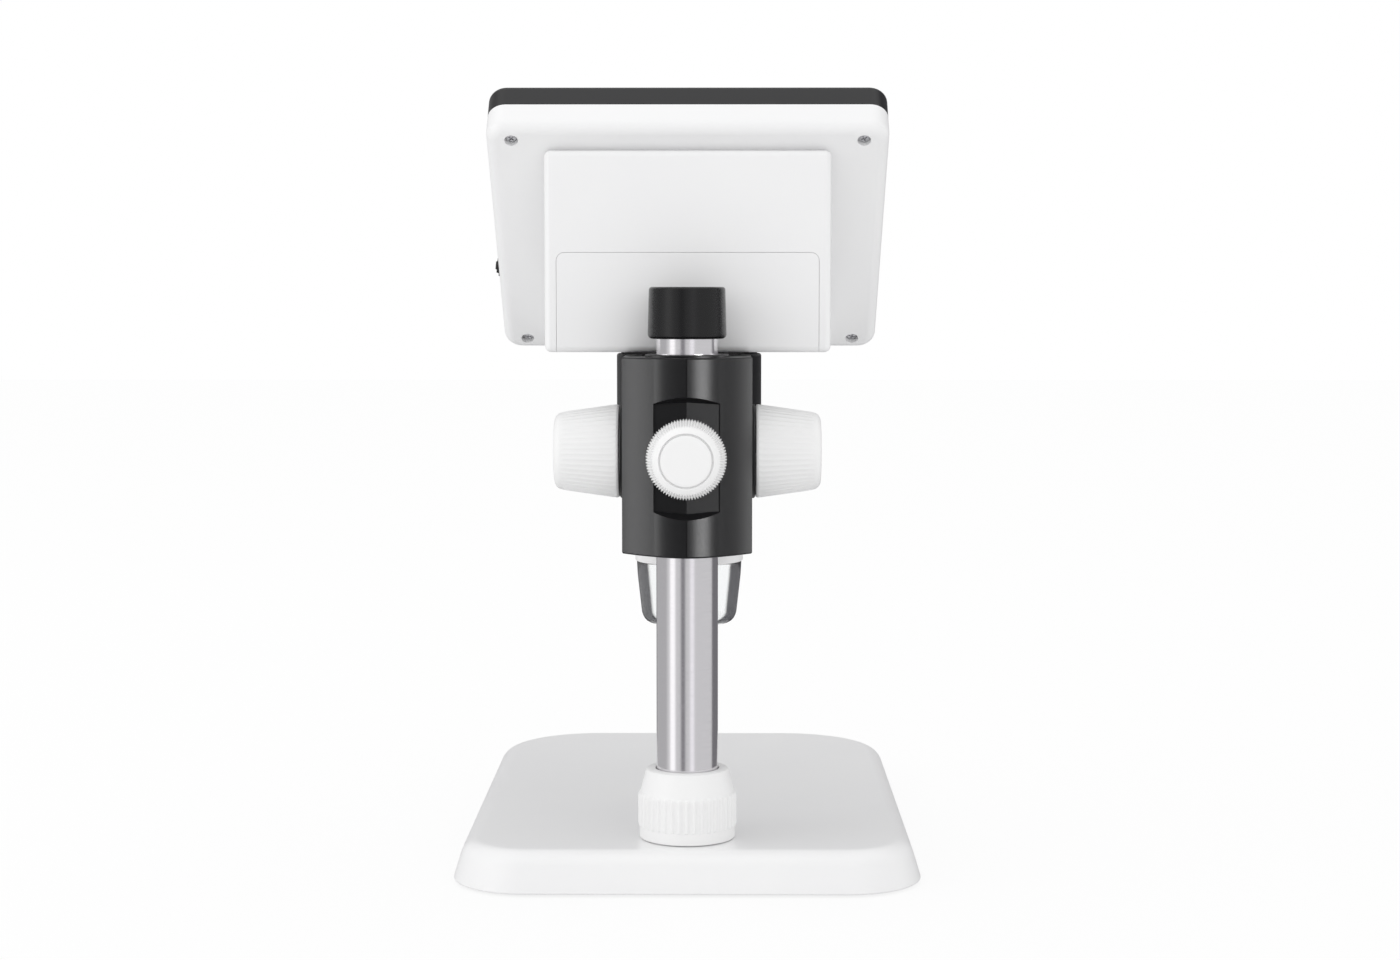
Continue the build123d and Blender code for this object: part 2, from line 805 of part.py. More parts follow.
with BuildPart() as pinion_gear:
    with BuildSketch(across(-pinion_width / 2)):
        Circle(tooth_root)
        for tooth in range(pinion_teeth):
            middle = 2 * pi * tooth / pinion_teeth
            rising = [(r, middle - tooth_half_angle(r)) for r in flank]
            falling = [(r, middle + tooth_half_angle(r)) for r in reversed(flank)]
            Polygon(*[(r * cos(a), r * sin(a)) for r, a in rising + falling], align=None)
        Circle(shaft_radius + fixed_fit, mode=Mode.SUBTRACT)
    extrude(amount=pinion_width)

with BuildPart() as pinion_shaft:
    with BuildSketch(across(-shaft_half_length)):
        Circle(shaft_radius)
    extrude(amount=2 * shaft_half_length)
    for side in (-1, 1):
        with BuildSketch(across(side * shaft_half_length)):
            Circle(knob_screw_radius + fixed_fit)
        extrude(amount=-side * (knob_screw_length + seam), mode=Mode.SUBTRACT)

pinion_axis = Axis((0, pinion_y, pinion_height), (1, 0, 0))
knob_end = knob_start + knob_length
knob_slope = atan((knob_radius - knob_end_radius) / knob_length)
screw_seat = knob_end - knob_recess_depth

for side, hand in ((-1, "left"), (1, "right")):
    knob_profile = Plane(origin=(0, pinion_y, pinion_height), x_dir=(0, 0, 1), z_dir=(0, side, 0))
    with BuildPart() as knob_rib:
        with BuildSketch(
            Plane(
                origin=(side * knob_start, pinion_y, pinion_height + knob_radius),
                z_dir=(side * cos(knob_slope), 0, -sin(knob_slope)),
            )
        ):
            Circle(knob_rib_radius)
        extrude(amount=knob_length - knob_edge)
    with BuildPart() as focus_knob:
        with BuildSketch(knob_profile) as knob_section:
            Polygon(
                (shaft_radius + fixed_fit, knob_start),
                (knob_radius, knob_start),
                (knob_end_radius, knob_end),
                (knob_recess_radius, knob_end),
                (knob_recess_radius, screw_seat),
                (knob_screw_radius + seam, screw_seat),
                (knob_screw_radius + seam, shaft_half_length + seam),
                (shaft_radius + fixed_fit, shaft_half_length + seam),
                align=None,
            )
            fillet(knob_section.vertices().sort_by_distance((knob_end_radius, knob_end))[0], knob_edge)
        revolve(axis=pinion_axis)
        add([knob_rib.part.rotate(pinion_axis, 360 * turn / knob_ribs) for turn in range(knob_ribs)])
    save(focus_knob, f"focus_knob_{hand}")

with BuildPart() as knob_screws:
    for side in (-1, 1):
        with BuildSketch(across(side * screw_seat)):
            Circle(knob_recess_radius - 2 * seam)
            RegularPolygon(knob_screw_radius, 6, mode=Mode.SUBTRACT)
        extrude(amount=side * knob_recess_depth / 2)
        with BuildSketch(across(side * screw_seat)):
            Circle(knob_screw_radius)
        extrude(amount=-side * (screw_seat - shaft_half_length + knob_screw_length))

# -------------------------------------------------------------------- lock knob
lock_axis = Axis((0, column_y, pinion_height), (0, 1, 0))

with BuildPart() as lock_knob:
    with BuildSketch(on_column(pinion_height)):
        Polygon(
            (lock_screw_radius + fixed_fit, lock_hub_start),
            (lock_hub_radius, lock_hub_start),
            (lock_hub_radius, lock_skirt_start),
            (lock_radius - lock_bevel, lock_skirt_start),
            (lock_radius, lock_skirt_start + lock_bevel),
            (lock_radius, lock_rim_y + lock_knurl_length),
            (lock_face_radius, lock_reach - lock_shoulder),
            (lock_face_radius - lock_face_bevel, lock_reach - lock_face_sunk),
            (lock_disc_radius + lock_groove_width, lock_reach - lock_groove_width),
            (lock_disc_radius, lock_reach - lock_groove_depth),
            (lock_disc_radius - lock_disc_bevel / 2, lock_reach - lock_disc_round),
            (lock_disc_radius - lock_disc_bevel, lock_reach),
            (0, lock_reach),
            (0, lock_screw_end + seam),
            (lock_screw_radius + fixed_fit, lock_screw_end + seam),
            align=None,
        )
    revolve(axis=lock_axis)
    with BuildSketch(rearward(lock_rim_y)):
        with PolarLocations(lock_radius, lock_ribs):
            Circle(lock_rib_radius)
    extrude(amount=lock_knurl_length)

with BuildPart() as lock_screw:
    with BuildSketch(rearward(column_radius + air)):
        Circle(lock_screw_radius)
    extrude(amount=lock_screw_end - column_radius - air)
    chamfer(lock_screw.edges().sort_by(Axis.Y)[0], lock_screw_radius / 4)

# ------------------------------------------------------------------- ring liner
with BuildPart() as ring_liner:
    with BuildSketch(on_barrel(ring_low)):
        Circle(liner_radius)
        Circle(barrel_radius + running, mode=Mode.SUBTRACT)
    extrude(amount=ring_high - ring_low + flat_air)
    with BuildSketch(on_barrel(ring_high + flat_air)):
        Circle(liner_flange_radius)
        Circle(barrel_radius + running, mode=Mode.SUBTRACT)
    extrude(amount=box_low - air - ring_high - flat_air)

# ----------------------------------------------------------------------- barrel
barrel_side = Plane(origin=(0, barrel_y, 0), x_dir=(1, 0, 0), z_dir=(0, -1, 0))
barrel_axis = Axis((0, barrel_y, 0), (0, 0, 1))

with BuildPart() as barrel_tube:
    with BuildSketch(barrel_side):
        Polygon(
            (neck_bore, barrel_low),
            (barrel_neck_radius, barrel_low),
            (barrel_neck_radius, barrel_neck_top),
            (barrel_radius, barrel_neck_top),
            (barrel_radius, barrel_flange_low),
            (barrel_flange_radius, barrel_flange_low),
            (barrel_flange_radius, barrel_top),
            (barrel_bore, barrel_top),
            (barrel_bore, sensor_ledge),
            (ledge_bore, sensor_ledge),
            (ledge_bore, lens_guide_top),
            (lens_radius + running, lens_guide_top),
            (lens_radius + running, lens_guide_low),
            (neck_bore, lens_guide_low),
            align=None,
        )
    revolve(axis=barrel_axis)
    with BuildSketch(Plane.YZ):
        with Locations((barrel_y, cam_pin_height + lens_travel / 2)):
            SlotCenterToCenter(
                lens_travel + 2 * flat_air, 2 * (cam_pin_radius + running), rotation=90
            )
    extrude(amount=barrel_neck_radius, mode=Mode.SUBTRACT)

cam_pitch = lens_travel * 360 / focus_range
cam_turns = (focus_range + 2 * cam_margin) / 360
cam_start = cam_pin_height - cam_pitch * cam_margin / 360

with BuildLine(on_barrel(cam_start)) as cam_path:
    Helix(cam_pitch, cam_pitch * cam_turns, barrel_neck_radius, lefthand=True)
cam_line = cam_path.line.rotate(barrel_axis, cam_margin)

with BuildPart() as focus_ring:
    with BuildSketch(on_barrel(focus_ring_low)):
        Circle(focus_ring_radius)
        with PolarLocations(focus_ring_radius, focus_ribs):
            Circle(focus_rib_radius)
        Circle(barrel_neck_radius + running, mode=Mode.SUBTRACT)
    extrude(amount=focus_ring_high - focus_ring_low)
    with BuildSketch(Plane(origin=cam_line @ 0, x_dir=(0, 0, 1), z_dir=cam_line % 0)):
        Rectangle(2 * (cam_pin_radius + running), 2 * (cam_depth + running))
    sweep(path=cam_line, is_frenet=True, mode=Mode.SUBTRACT)

with BuildPart() as lens_cell:
    with BuildSketch(on_barrel(lens_low)):
        Circle(lens_radius)
    extrude(amount=lens_length)
    with BuildSketch(Plane.YZ):
        with Locations((barrel_y, cam_pin_height)):
            Circle(cam_pin_radius)
    extrude(amount=barrel_neck_radius + cam_depth - running)
    with BuildSketch(on_barrel(lens_low)):
        Circle(lens_bore)
    extrude(amount=lens_length, mode=Mode.SUBTRACT)

lens_rim = lens_bore - fixed_fit
lens_curve = (lens_rim**2 + lens_bulge**2) / (2 * lens_bulge)

with BuildPart() as lens_elements:
    for low in (lens_low + lens_seat, lens_high - lens_seat - lens_thickness):
        high = low + lens_thickness
        with BuildSketch(barrel_side):
            with BuildLine():
                Line((0, low - lens_bulge), (0, high + lens_bulge))
                RadiusArc((0, high + lens_bulge), (lens_rim, high), lens_curve)
                Line((lens_rim, high), (lens_rim, low))
                RadiusArc((lens_rim, low), (0, low - lens_bulge), lens_curve)
            make_face()
        revolve(axis=barrel_axis)

with BuildPart() as sensor_board:
    with BuildSketch(on_barrel(sensor_ledge)):
        Circle(barrel_bore - seam)
    extrude(amount=board_thickness)

with BuildPart() as image_sensor:
    with BuildSketch(on_barrel(sensor_ledge)):
        Rectangle(sensor_size, sensor_size)
    extrude(amount=-sensor_height)

with BuildPart() as sensor_ribbon:
    with BuildSketch(Plane.YZ.offset(-ribbon_width / 2)):
        Polygon(
            (barrel_y, sensor_board_top),
            (barrel_y + ribbon_thickness, sensor_board_top),
            slab_over(barrel_y + ribbon_thickness, board_low),
            slab_over(barrel_y, board_low),
            align=None,
        )
    extrude(amount=ribbon_width)

with BuildPart() as led_board:
    with BuildSketch(on_barrel(lens_guide_low)):
        Circle(led_board_radius)
        Circle(led_board_hole, mode=Mode.SUBTRACT)
    extrude(amount=-led_board_thickness)

with BuildPart() as leds:
    with BuildSketch(on_barrel(lens_guide_low - led_board_thickness)):
        with PolarLocations(led_circle, led_count):
            Circle(led_radius)
    extrude(amount=-led_height)
    fillet(leds.edges().group_by(Axis.Z)[0], led_dome)

with BuildPart() as shield_lip:
    with BuildSketch(on_barrel(lip_low)):
        Circle(lip_radius)
        Circle(barrel_neck_radius + fixed_fit, mode=Mode.SUBTRACT)
    extrude(amount=lip_high - lip_low)
    fillet(shield_lip.edges().sort_by(SortBy.LENGTH)[-2:], lip_edge)

with BuildPart() as clear_shield:
    with BuildSketch(barrel_side):
        with BuildLine():
            Polyline(
                (shield_waist_radius, shield_waist),
                (shield_radius, lip_low),
                (barrel_neck_radius, lip_low),
                (barrel_neck_radius, lip_low + shield_neck_height),
                (barrel_neck_radius - shield_wall, lip_low + shield_neck_height),
                (barrel_neck_radius - shield_wall, lip_low),
                (shield_waist_radius - shield_wall, shield_waist),
                (shield_mouth_radius - shield_wall, shield_low),
                (shield_mouth_radius, shield_low),
            )
            ThreePointArc(
                (shield_mouth_radius, shield_low),
                (
                    shield_mouth_radius + shield_foot_out * (shield_waist_radius - shield_mouth_radius),
                    shield_low + shield_foot_up * (shield_waist - shield_low),
                ),
                (shield_waist_radius, shield_waist),
            )
        make_face()
    revolve(axis=barrel_axis)

# ------------------------------------------------------------------ head's shell
def cover_outline(margin):
    """The battery cover's outline on the box's rear face, let out by margin."""
    with BuildSketch(box_rear) as outline:
        with Locations((0, box_low)):
            Rectangle(
                2 * (cover_half_width + margin),
                cover_high - box_low + margin,
                align=(Align.CENTER, Align.MIN),
            )
        fillet(outline.vertices().group_by(Axis.Y)[-1], cover_corner + margin)
    return outline.sketch


with BuildPart() as head_box:
    with BuildSketch(Plane.YZ.offset(-box_half_width)):
        Polygon(
            (box_face_y, box_low),
            (box_face_y, box_high),
            slab_at(box_high, shell_thickness / 2),
            slab_at(box_low + shell_thickness / 2, shell_thickness / 2),
            slab_at(box_low, 0),
            align=None,
        )
    extrude(amount=2 * box_half_width)
    box_edges = head_box.faces().sort_by(Axis.Y)[-1].edges()
    box_edges += head_box.faces().sort_by(Axis.Z)[0].edges().filter_by(Axis.Y)
    box_edges += head_box.faces().sort_by(Axis.Z)[-1].edges().filter_by(Axis.Y)
    fillet(box_edges, box_edge)

with BuildPart() as head_shell:
    with BuildSketch(on_slab(0)):
        RectangleRounded(head_width, head_depth, head_corner)
    extrude(amount=shell_thickness)
    fillet(head_shell.faces().sort_by(slab_normal)[0].edges(), shell_edge)
    add(head_box.part)
    with BuildSketch(on_slab(head_wall)):
        RectangleRounded(inner_width, inner_depth, inner_corner)
    extrude(amount=shell_thickness, mode=Mode.SUBTRACT)
    with BuildSketch(Plane.YZ.offset(head_wall - box_half_width)):
        Polygon(
            (box_inner_y, box_floor),
            (box_inner_y, box_ceiling),
            slab_at(box_ceiling, 2 * head_wall),
            slab_at(box_floor + 2 * head_wall, 2 * head_wall),
            slab_at(box_floor, head_wall),
            align=None,
        )
    extrude(amount=2 * (box_half_width - head_wall), mode=Mode.SUBTRACT)
    # barrel hole, recess of the battery cover and the hatch behind it
    with BuildSketch(on_barrel(box_low)):
        Circle(barrel_radius + seam)
    extrude(amount=head_wall, mode=Mode.SUBTRACT)
    extrude(cover_outline(seam), amount=-(cover_thickness + seam), mode=Mode.SUBTRACT)
    with BuildSketch(box_rear):
        with Locations((0, battery_height)):
            Rectangle(2 * hatch_half_length, 2 * hatch_half_height)
    extrude(amount=-box_rear_wall, mode=Mode.SUBTRACT)
    # screw tubes, and the bosses that carry the main board on their stakes
    with BuildSketch(on_slab(head_wall / 2)):
        with Locations(*screw_spots):
            Circle(case_tube_radius)
    extrude(amount=case_tube_top - head_wall / 2)
    with BuildSketch(on_slab(0)):
        with Locations(*screw_spots):
            Circle(case_screw_radius + seam)
    extrude(amount=case_tube_top, mode=Mode.SUBTRACT)
    with BuildSketch(on_slab(0)):
        with Locations(*screw_spots):
            Circle(case_screw_head + case_screw_play)
    extrude(amount=case_screw_recess, mode=Mode.SUBTRACT)
    with BuildSketch(on_slab(head_wall / 2)):
        with Locations(*stake_spots):
            Circle(board_boss_radius)
    extrude(amount=board_low - head_wall / 2)
    with BuildSketch(on_slab(board_low)):
        with Locations(*stake_spots):
            Circle(stake_radius)
    extrude(amount=board_thickness + stake_height)
    # slot of the dimmer wheel and the two port cut-outs
    with BuildSketch(on_slab(wheel_low - air)):
        with Locations((wheel_x, wheel_u)):
            Circle(wheel_radius + air)
    extrude(amount=wheel_thickness + 2 * air, mode=Mode.SUBTRACT)
    for port_u, port_width, port_height, _ in ports.values():
        with BuildSketch(on_slab(board_low - port_height - port_play)):
            with Locations((-head_width / 2, port_u)):
                Rectangle(2 * (head_wall + port_play), port_width + 2 * port_play)
        extrude(amount=port_height + 2 * port_play, mode=Mode.SUBTRACT)

with BuildPart() as battery_cover:
    extrude(cover_outline(0), amount=-cover_thickness)
    low_edges = battery_cover.faces().sort_by(Axis.Y)[-1].edges().sort_by(Axis.Z)
    fillet(low_edges[0], box_edge - seam)
    with BuildSketch(box_rear.offset(-cover_thickness)):
        with Locations((0, battery_height)):
            Rectangle(2 * (hatch_half_length - seam), 2 * (hatch_half_height - seam))
            Rectangle(
                2 * (hatch_half_length - seam - cover_rim),
                2 * (hatch_half_height - seam - cover_rim),
                mode=Mode.SUBTRACT,
            )
    extrude(amount=-cover_rim)

with BuildPart() as battery_tray:
    with BuildSketch(box_rear.offset(-box_rear_wall)):
        with Locations((0, battery_height)):
            Rectangle(2 * tray_half_length, 2 * tray_half_height)
    extrude(amount=-tray_depth)
    with BuildSketch(box_rear.offset(-box_rear_wall)):
        with Locations((0, battery_height)):
            Rectangle(2 * (tray_half_length - tray_wall), 2 * (tray_half_height - tray_wall))
    extrude(amount=tray_wall - tray_depth, mode=Mode.SUBTRACT)

with BuildPart() as battery_cell:
    with BuildSketch(Plane(origin=(-battery_half_length, battery_y, battery_height), z_dir=(1, 0, 0))):
        Circle(battery_radius)
    extrude(amount=2 * battery_half_length)
    fillet(battery_cell.edges().filter_by(GeomType.CIRCLE), battery_edge)

with BuildPart() as battery_contacts:
    for side in (-1, 1):
        plate_x = side * (battery_half_length + contact_gap)
        with BuildSketch(Plane(origin=(plate_x, battery_y, battery_height), z_dir=(-side, 0, 0))):
            Circle(contact_radius)
        extrude(amount=contact_plate)
        with BuildSketch(Plane(origin=(plate_x, battery_y, battery_height), z_dir=(-side, 0, 0))):
            Circle(spring_radius)
        extrude(amount=contact_gap)

with BuildPart() as case_screws:
    with BuildSketch(on_slab(case_screw_recess)):
        with Locations(*screw_spots):
            Circle(case_screw_head)
    extrude(amount=-case_screw_head_height)
    with BuildSketch(on_slab(case_screw_recess)):
        with Locations(*screw_spots):
            Circle(case_screw_radius)
    extrude(amount=case_screw_length)
    with BuildSketch(on_slab(case_screw_recess - case_screw_head_height)):
        with Locations(*screw_spots):
            Rectangle(case_cross_length, case_cross_width)
            Rectangle(case_cross_width, case_cross_length)
    extrude(amount=case_screw_head_height / 2, mode=Mode.SUBTRACT)

# ---------------------------------------------------------- head's front and LCD
with BuildPart() as front_bezel:
    with BuildSketch(on_slab(shell_thickness)):
        RectangleRounded(head_width, head_depth, head_corner)
    extrude(amount=bezel_thickness)
    fillet(front_bezel.faces().sort_by(slab_normal)[-1].edges(), bezel_edge)
    with BuildSketch(on_slab(shell_thickness)):
        RectangleRounded(inner_width, inner_depth, inner_corner)
    extrude(amount=bezel_inner - shell_thickness, mode=Mode.SUBTRACT)
    # lip inside the shell
    with BuildSketch(on_slab(case_tube_top + flat_air)):
        RectangleRounded(inner_width - 2 * seam, inner_depth - 2 * seam, inner_corner - seam)
        RectangleRounded(
            inner_width - 2 * (seam + case_lip),
            inner_depth - 2 * (seam + case_lip),
            inner_corner - seam - case_lip,
            mode=Mode.SUBTRACT,
        )
    extrude(amount=bezel_inner - case_tube_top - flat_air)
    # posts of the case screws and of the button board
    with BuildSketch(on_slab(case_tube_top + flat_air)):
        with Locations(*screw_spots):
            Circle(case_post_radius)
    extrude(amount=bezel_inner - case_tube_top - flat_air)
    with BuildSketch(on_slab(case_tube_top + flat_air)):
        with Locations(*screw_spots):
            Circle(case_screw_radius + fixed_fit)
    extrude(
        amount=case_screw_recess + case_screw_length - case_tube_top,
        mode=Mode.SUBTRACT,
    )
    with BuildSketch(on_slab(button_board_top)):
        with Locations((-button_post_x, button_u), (button_post_x, button_u)):
            Circle(button_post_radius)
    extrude(amount=bezel_inner - button_board_top)
    # recess of the glass, window of the screen, holes of the buttons
    with BuildSketch(on_slab(head_thickness - glass_thickness)):
        with Locations((0, screen_u)):
            RectangleRounded(glass_width + 2 * seam, glass_height + 2 * seam, glass_corner + seam)
    extrude(amount=glass_thickness, mode=Mode.SUBTRACT)
    with BuildSketch(on_slab(bezel_inner)):
        with Locations((0, screen_u)):
            Rectangle(window_width, window_height)
    extrude(amount=head_wall, mode=Mode.SUBTRACT)
    with BuildSketch(on_slab(bezel_inner)):
        with Locations(*button_spots):
            SlotOverall(button_length + 2 * button_play, button_width + 2 * button_play)
    extrude(amount=head_wall, mode=Mode.SUBTRACT)

with BuildPart() as screen_glass:
    with BuildSketch(on_slab(head_thickness - glass_thickness)):
        with Locations((0, screen_u)):
            RectangleRounded(glass_width, glass_height, glass_corner)
    extrude(amount=glass_thickness)

with BuildPart() as lcd_panel:
    with BuildSketch(on_slab(panel_low)):
        with Locations((0, screen_u)):
            Rectangle(panel_width, panel_height)
    extrude(amount=panel_thickness)

with BuildPart() as lcd_frame:
    with BuildSketch(on_slab(panel_low - frame_floor)):
        with Locations((0, screen_u)):
            Rectangle(
                panel_width + 2 * (seam + frame_wall),
                panel_height + 2 * (seam + frame_wall),
            )
    extrude(amount=frame_floor + panel_thickness)
    with BuildSketch(on_slab(panel_low)):
        with Locations((0, screen_u)):
            Rectangle(panel_width + 2 * seam, panel_height + 2 * seam)
    extrude(amount=panel_thickness, mode=Mode.SUBTRACT)
    with BuildSketch(on_slab(panel_low - frame_floor)):
        with Locations(*screw_spots):
            Circle(case_post_radius + seam)
    extrude(amount=frame_floor + panel_thickness, mode=Mode.SUBTRACT)

# -------------------------------------------------------------- boards and ports
with BuildPart() as main_board:
    with BuildSketch(on_slab(board_low)):
        with Locations((0, main_board_u)):
            Rectangle(main_board_width, main_board_height)
        with Locations(*stake_spots):
            Circle(stake_radius + seam, mode=Mode.SUBTRACT)
    extrude(amount=board_thickness)
    with BuildSketch(on_slab(board_low + board_thickness)):
        with Locations((processor_x, main_board_u + processor_u)):
            Rectangle(processor_size, processor_size)
        with Locations(*[(memory_x, main_board_u + side * memory_u) for side in (-1, 1)]):
            Rectangle(memory_width, memory_length)
    extrude(amount=chip_height)

with BuildPart() as button_board:
    with BuildSketch(on_slab(button_board_top - button_board_thickness)):
        with Locations((0, button_u)):
            Rectangle(button_board_length, button_board_width)
    extrude(amount=button_board_thickness)

with BuildPart() as button_switches:
    with BuildSketch(on_slab(button_board_top)):
        with Locations(*button_spots):
            Rectangle(switch_size, switch_size)
    extrude(amount=switch_height)
    with BuildSketch(on_slab(button_board_top + switch_height)):
        with Locations(*button_spots):
            Circle(plunger_radius)
    extrude(amount=plunger_height)

for number, spot in enumerate(button_spots, start=1):
    with BuildPart() as button:
        with BuildSketch(on_slab(button_flange_low)):
            with Locations(spot):
                SlotOverall(button_length + 2 * button_flange, button_width + 2 * button_flange)
        extrude(amount=button_flange_thickness)
        with BuildSketch(on_slab(button_flange_top)):
            with Locations(spot):
                SlotOverall(button_length, button_width)
        extrude(amount=head_thickness + button_proud - button_flange_top)
        fillet(button.faces().sort_by(slab_normal)[-1].edges(), button_proud / 2)
    save(button, f"button_{number}")

with BuildPart() as dimmer_wheel:
    with BuildSketch(on_slab(wheel_low)):
        with Locations((wheel_x, wheel_u)):
            Circle(wheel_radius - wheel_rib_radius)
            with PolarLocations(wheel_radius - wheel_rib_radius, wheel_ribs):
                Circle(wheel_rib_radius)
    extrude(amount=wheel_thickness)
    with BuildSketch(on_slab(wheel_low + wheel_thickness)):
        with Locations((wheel_x, wheel_u)):
            Circle(wheel_shaft_radius)
    extrude(amount=wheel_shaft_length)

with BuildPart() as dimmer_pot:
    with BuildSketch(on_slab(wheel_low + wheel_thickness + flat_air)):
        with Locations((wheel_x, wheel_u)):
            Rectangle(pot_size, pot_size)
    extrude(amount=board_low - wheel_low - wheel_thickness - flat_air)
    with BuildSketch(on_slab(wheel_low + wheel_thickness + flat_air)):
        with Locations((wheel_x, wheel_u)):
            Circle(wheel_shaft_radius + running)
    extrude(amount=wheel_shaft_length, mode=Mode.SUBTRACT)

for port_name, (port_u, port_width, port_height, port_depth) in ports.items():
    with BuildPart() as socket:
        with BuildSketch(on_slab(board_low - port_height)):
            with Locations((port_mouth_x, port_u)):
                Rectangle(port_depth, port_width, align=(Align.MIN, Align.CENTER))
        extrude(amount=port_height)
        with BuildSketch(on_slab(board_low - port_height + port_wall)):
            with Locations((port_mouth_x, port_u)):
                Rectangle(
                    port_depth - port_wall,
                    port_width - 2 * port_wall,
                    align=(Align.MIN, Align.CENTER),
                )
        extrude(amount=port_height - 2 * port_wall, mode=Mode.SUBTRACT)
        if port_name == "usb":
            with BuildSketch(on_slab(board_low - port_height / 2)):
                with Locations((port_mouth_x + port_depth, port_u)):
                    Rectangle(
                        port_depth - tongue_short,
                        port_width / 2,
                        align=(Align.MAX, Align.CENTER),
                    )
            extrude(amount=tongue_thickness)
    save(socket, f"{port_name}_socket")

# ----------------------------------------------------------------- finished parts
finished = {
    "base_shell": base_shell,
    "base_plate": base_plate,
    "ballast_plate": ballast_plate,
    "rubber_feet": rubber_feet,
    "base_screws": base_screws,
    "column_spigot": column_spigot,
    "column_tube": column_tube,
    "column_plug": column_plug,
    "column_bolt": column_bolt,
    "gear_rack": gear_rack,
    "top_cap": top_cap,
    "collar_nut": collar_nut,
    "carriage_body": carriage_body,
    "shaft_bushes": shaft_bushes,
    "lock_insert": lock_insert,
    "barrel_ring": barrel_ring,
    "ring_screws": ring_screws,
    "pinion_shaft": pinion_shaft,
    "pinion_gear": pinion_gear,
    "knob_screws": knob_screws,
    "lock_knob": lock_knob,
    "lock_screw": lock_screw,
    "ring_liner": ring_liner,
    "head_shell": head_shell,
    "front_bezel": front_bezel,
    "screen_glass": screen_glass,
    "lcd_panel": lcd_panel,
    "lcd_frame": lcd_frame,
    "main_board": main_board,
    "button_board": button_board,
    "button_switches": button_switches,
    "battery_tray": battery_tray,
    "battery_cell": battery_cell,
    "battery_contacts": battery_contacts,
    "battery_cover": battery_cover,
    "case_screws": case_screws,
    "dimmer_pot": dimmer_pot,
    "dimmer_wheel": dimmer_wheel,
    "barrel_tube": barrel_tube,
    "sensor_board": sensor_board,
    "image_sensor": image_sensor,
    "sensor_ribbon": sensor_ribbon,
    "led_board": led_board,
    "leds": leds,
    "shield_lip": shield_lip,
    "clear_shield": clear_shield,
    "focus_ring": focus_ring,
    "lens_cell": lens_cell,
    "lens_elements": lens_elements,
}
for name, piece in finished.items():
    save(piece, name)
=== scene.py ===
import json
import math

import bmesh
import bpy
from mathutils import Matrix, Vector

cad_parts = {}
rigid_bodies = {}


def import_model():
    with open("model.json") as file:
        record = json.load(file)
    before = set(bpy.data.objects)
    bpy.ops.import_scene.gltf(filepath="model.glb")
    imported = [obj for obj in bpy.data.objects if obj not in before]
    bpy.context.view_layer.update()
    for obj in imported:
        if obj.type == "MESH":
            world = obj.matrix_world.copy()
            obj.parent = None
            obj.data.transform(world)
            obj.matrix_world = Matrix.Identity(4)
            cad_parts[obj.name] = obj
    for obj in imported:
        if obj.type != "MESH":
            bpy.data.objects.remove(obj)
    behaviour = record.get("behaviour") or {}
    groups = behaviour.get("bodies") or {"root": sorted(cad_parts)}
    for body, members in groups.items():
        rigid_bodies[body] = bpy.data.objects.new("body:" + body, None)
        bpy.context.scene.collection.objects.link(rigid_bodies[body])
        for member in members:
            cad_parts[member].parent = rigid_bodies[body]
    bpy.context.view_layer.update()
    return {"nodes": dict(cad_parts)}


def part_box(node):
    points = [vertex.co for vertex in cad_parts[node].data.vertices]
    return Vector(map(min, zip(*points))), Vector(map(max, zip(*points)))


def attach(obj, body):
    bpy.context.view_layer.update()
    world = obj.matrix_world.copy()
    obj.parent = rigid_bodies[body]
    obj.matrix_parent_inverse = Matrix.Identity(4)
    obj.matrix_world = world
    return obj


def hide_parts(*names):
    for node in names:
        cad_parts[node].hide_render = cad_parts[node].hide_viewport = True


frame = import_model()
scene = bpy.context.scene
scene.view_settings.view_transform = "Standard"

# ---------------------------------------------------------------------------
# Camera: stands behind the microscope, a little above the carriage, and looks
# slightly down. Its long lens keeps the tilted head's sides nearly parallel.
eye = Vector((-0.0083, 0.8113, 0.1835))
look_down = 0.0799
look_aside = 0.0059
camera_data = bpy.data.cameras.new("camera")
camera_data.lens = 61.71
camera_data.sensor_width = 36.0
camera = bpy.data.objects.new("camera", camera_data)
aim = Vector((
    math.sin(look_aside) * math.cos(look_down),
    -math.cos(look_aside) * math.cos(look_down),
    -math.sin(look_down),
))
camera.location = eye
camera.rotation_euler = aim.to_track_quat("-Z", "Y").to_euler()
scene.collection.objects.link(camera)
scene.camera = camera


# ---------------------------------------------------------------------------
# Studio: a pale tent hung with upright boards, two pale and three darker, so
# that bare metal shows crisp bands. Straight to the eye it is plain white.
def srgb(code):
    """Linear colour of an sRGB hex code such as "#F2F2F0"."""
    channels = [int(code[i:i + 2], 16) / 255 for i in (1, 3, 5)]
    linear = [c / 12.92 if c <= 0.04045 else ((c + 0.055) / 1.055) ** 2.4 for c in channels]
    return (*linear, 1.0)


def add(tree, kind, settings=None, inputs=None):
    """Add one node: its settings, then its inputs, each a value or another node's output."""
    made = tree.nodes.new(kind)
    for name, value in (settings or {}).items():
        setattr(made, name, value)
    for socket, value in (inputs or {}).items():
        if isinstance(value, bpy.types.NodeSocket):
            tree.links.new(value, made.inputs[socket])
        else:
            made.inputs[socket].default_value = value
    return made


def blank_material(name):
    """New material without any nodes, and its node tree."""
    material = bpy.data.materials.new(name)
    material.use_nodes = True
    material.node_tree.nodes.clear()
    return material, material.node_tree


tent_cloth = "#C3C3C4"
lit_box = "#FFFFFF"
dim_box = "#E8E7EA"
shade_card = "#A8A8A9"
grey_card = "#7A797C"
dark_card = "#6D6C6F"
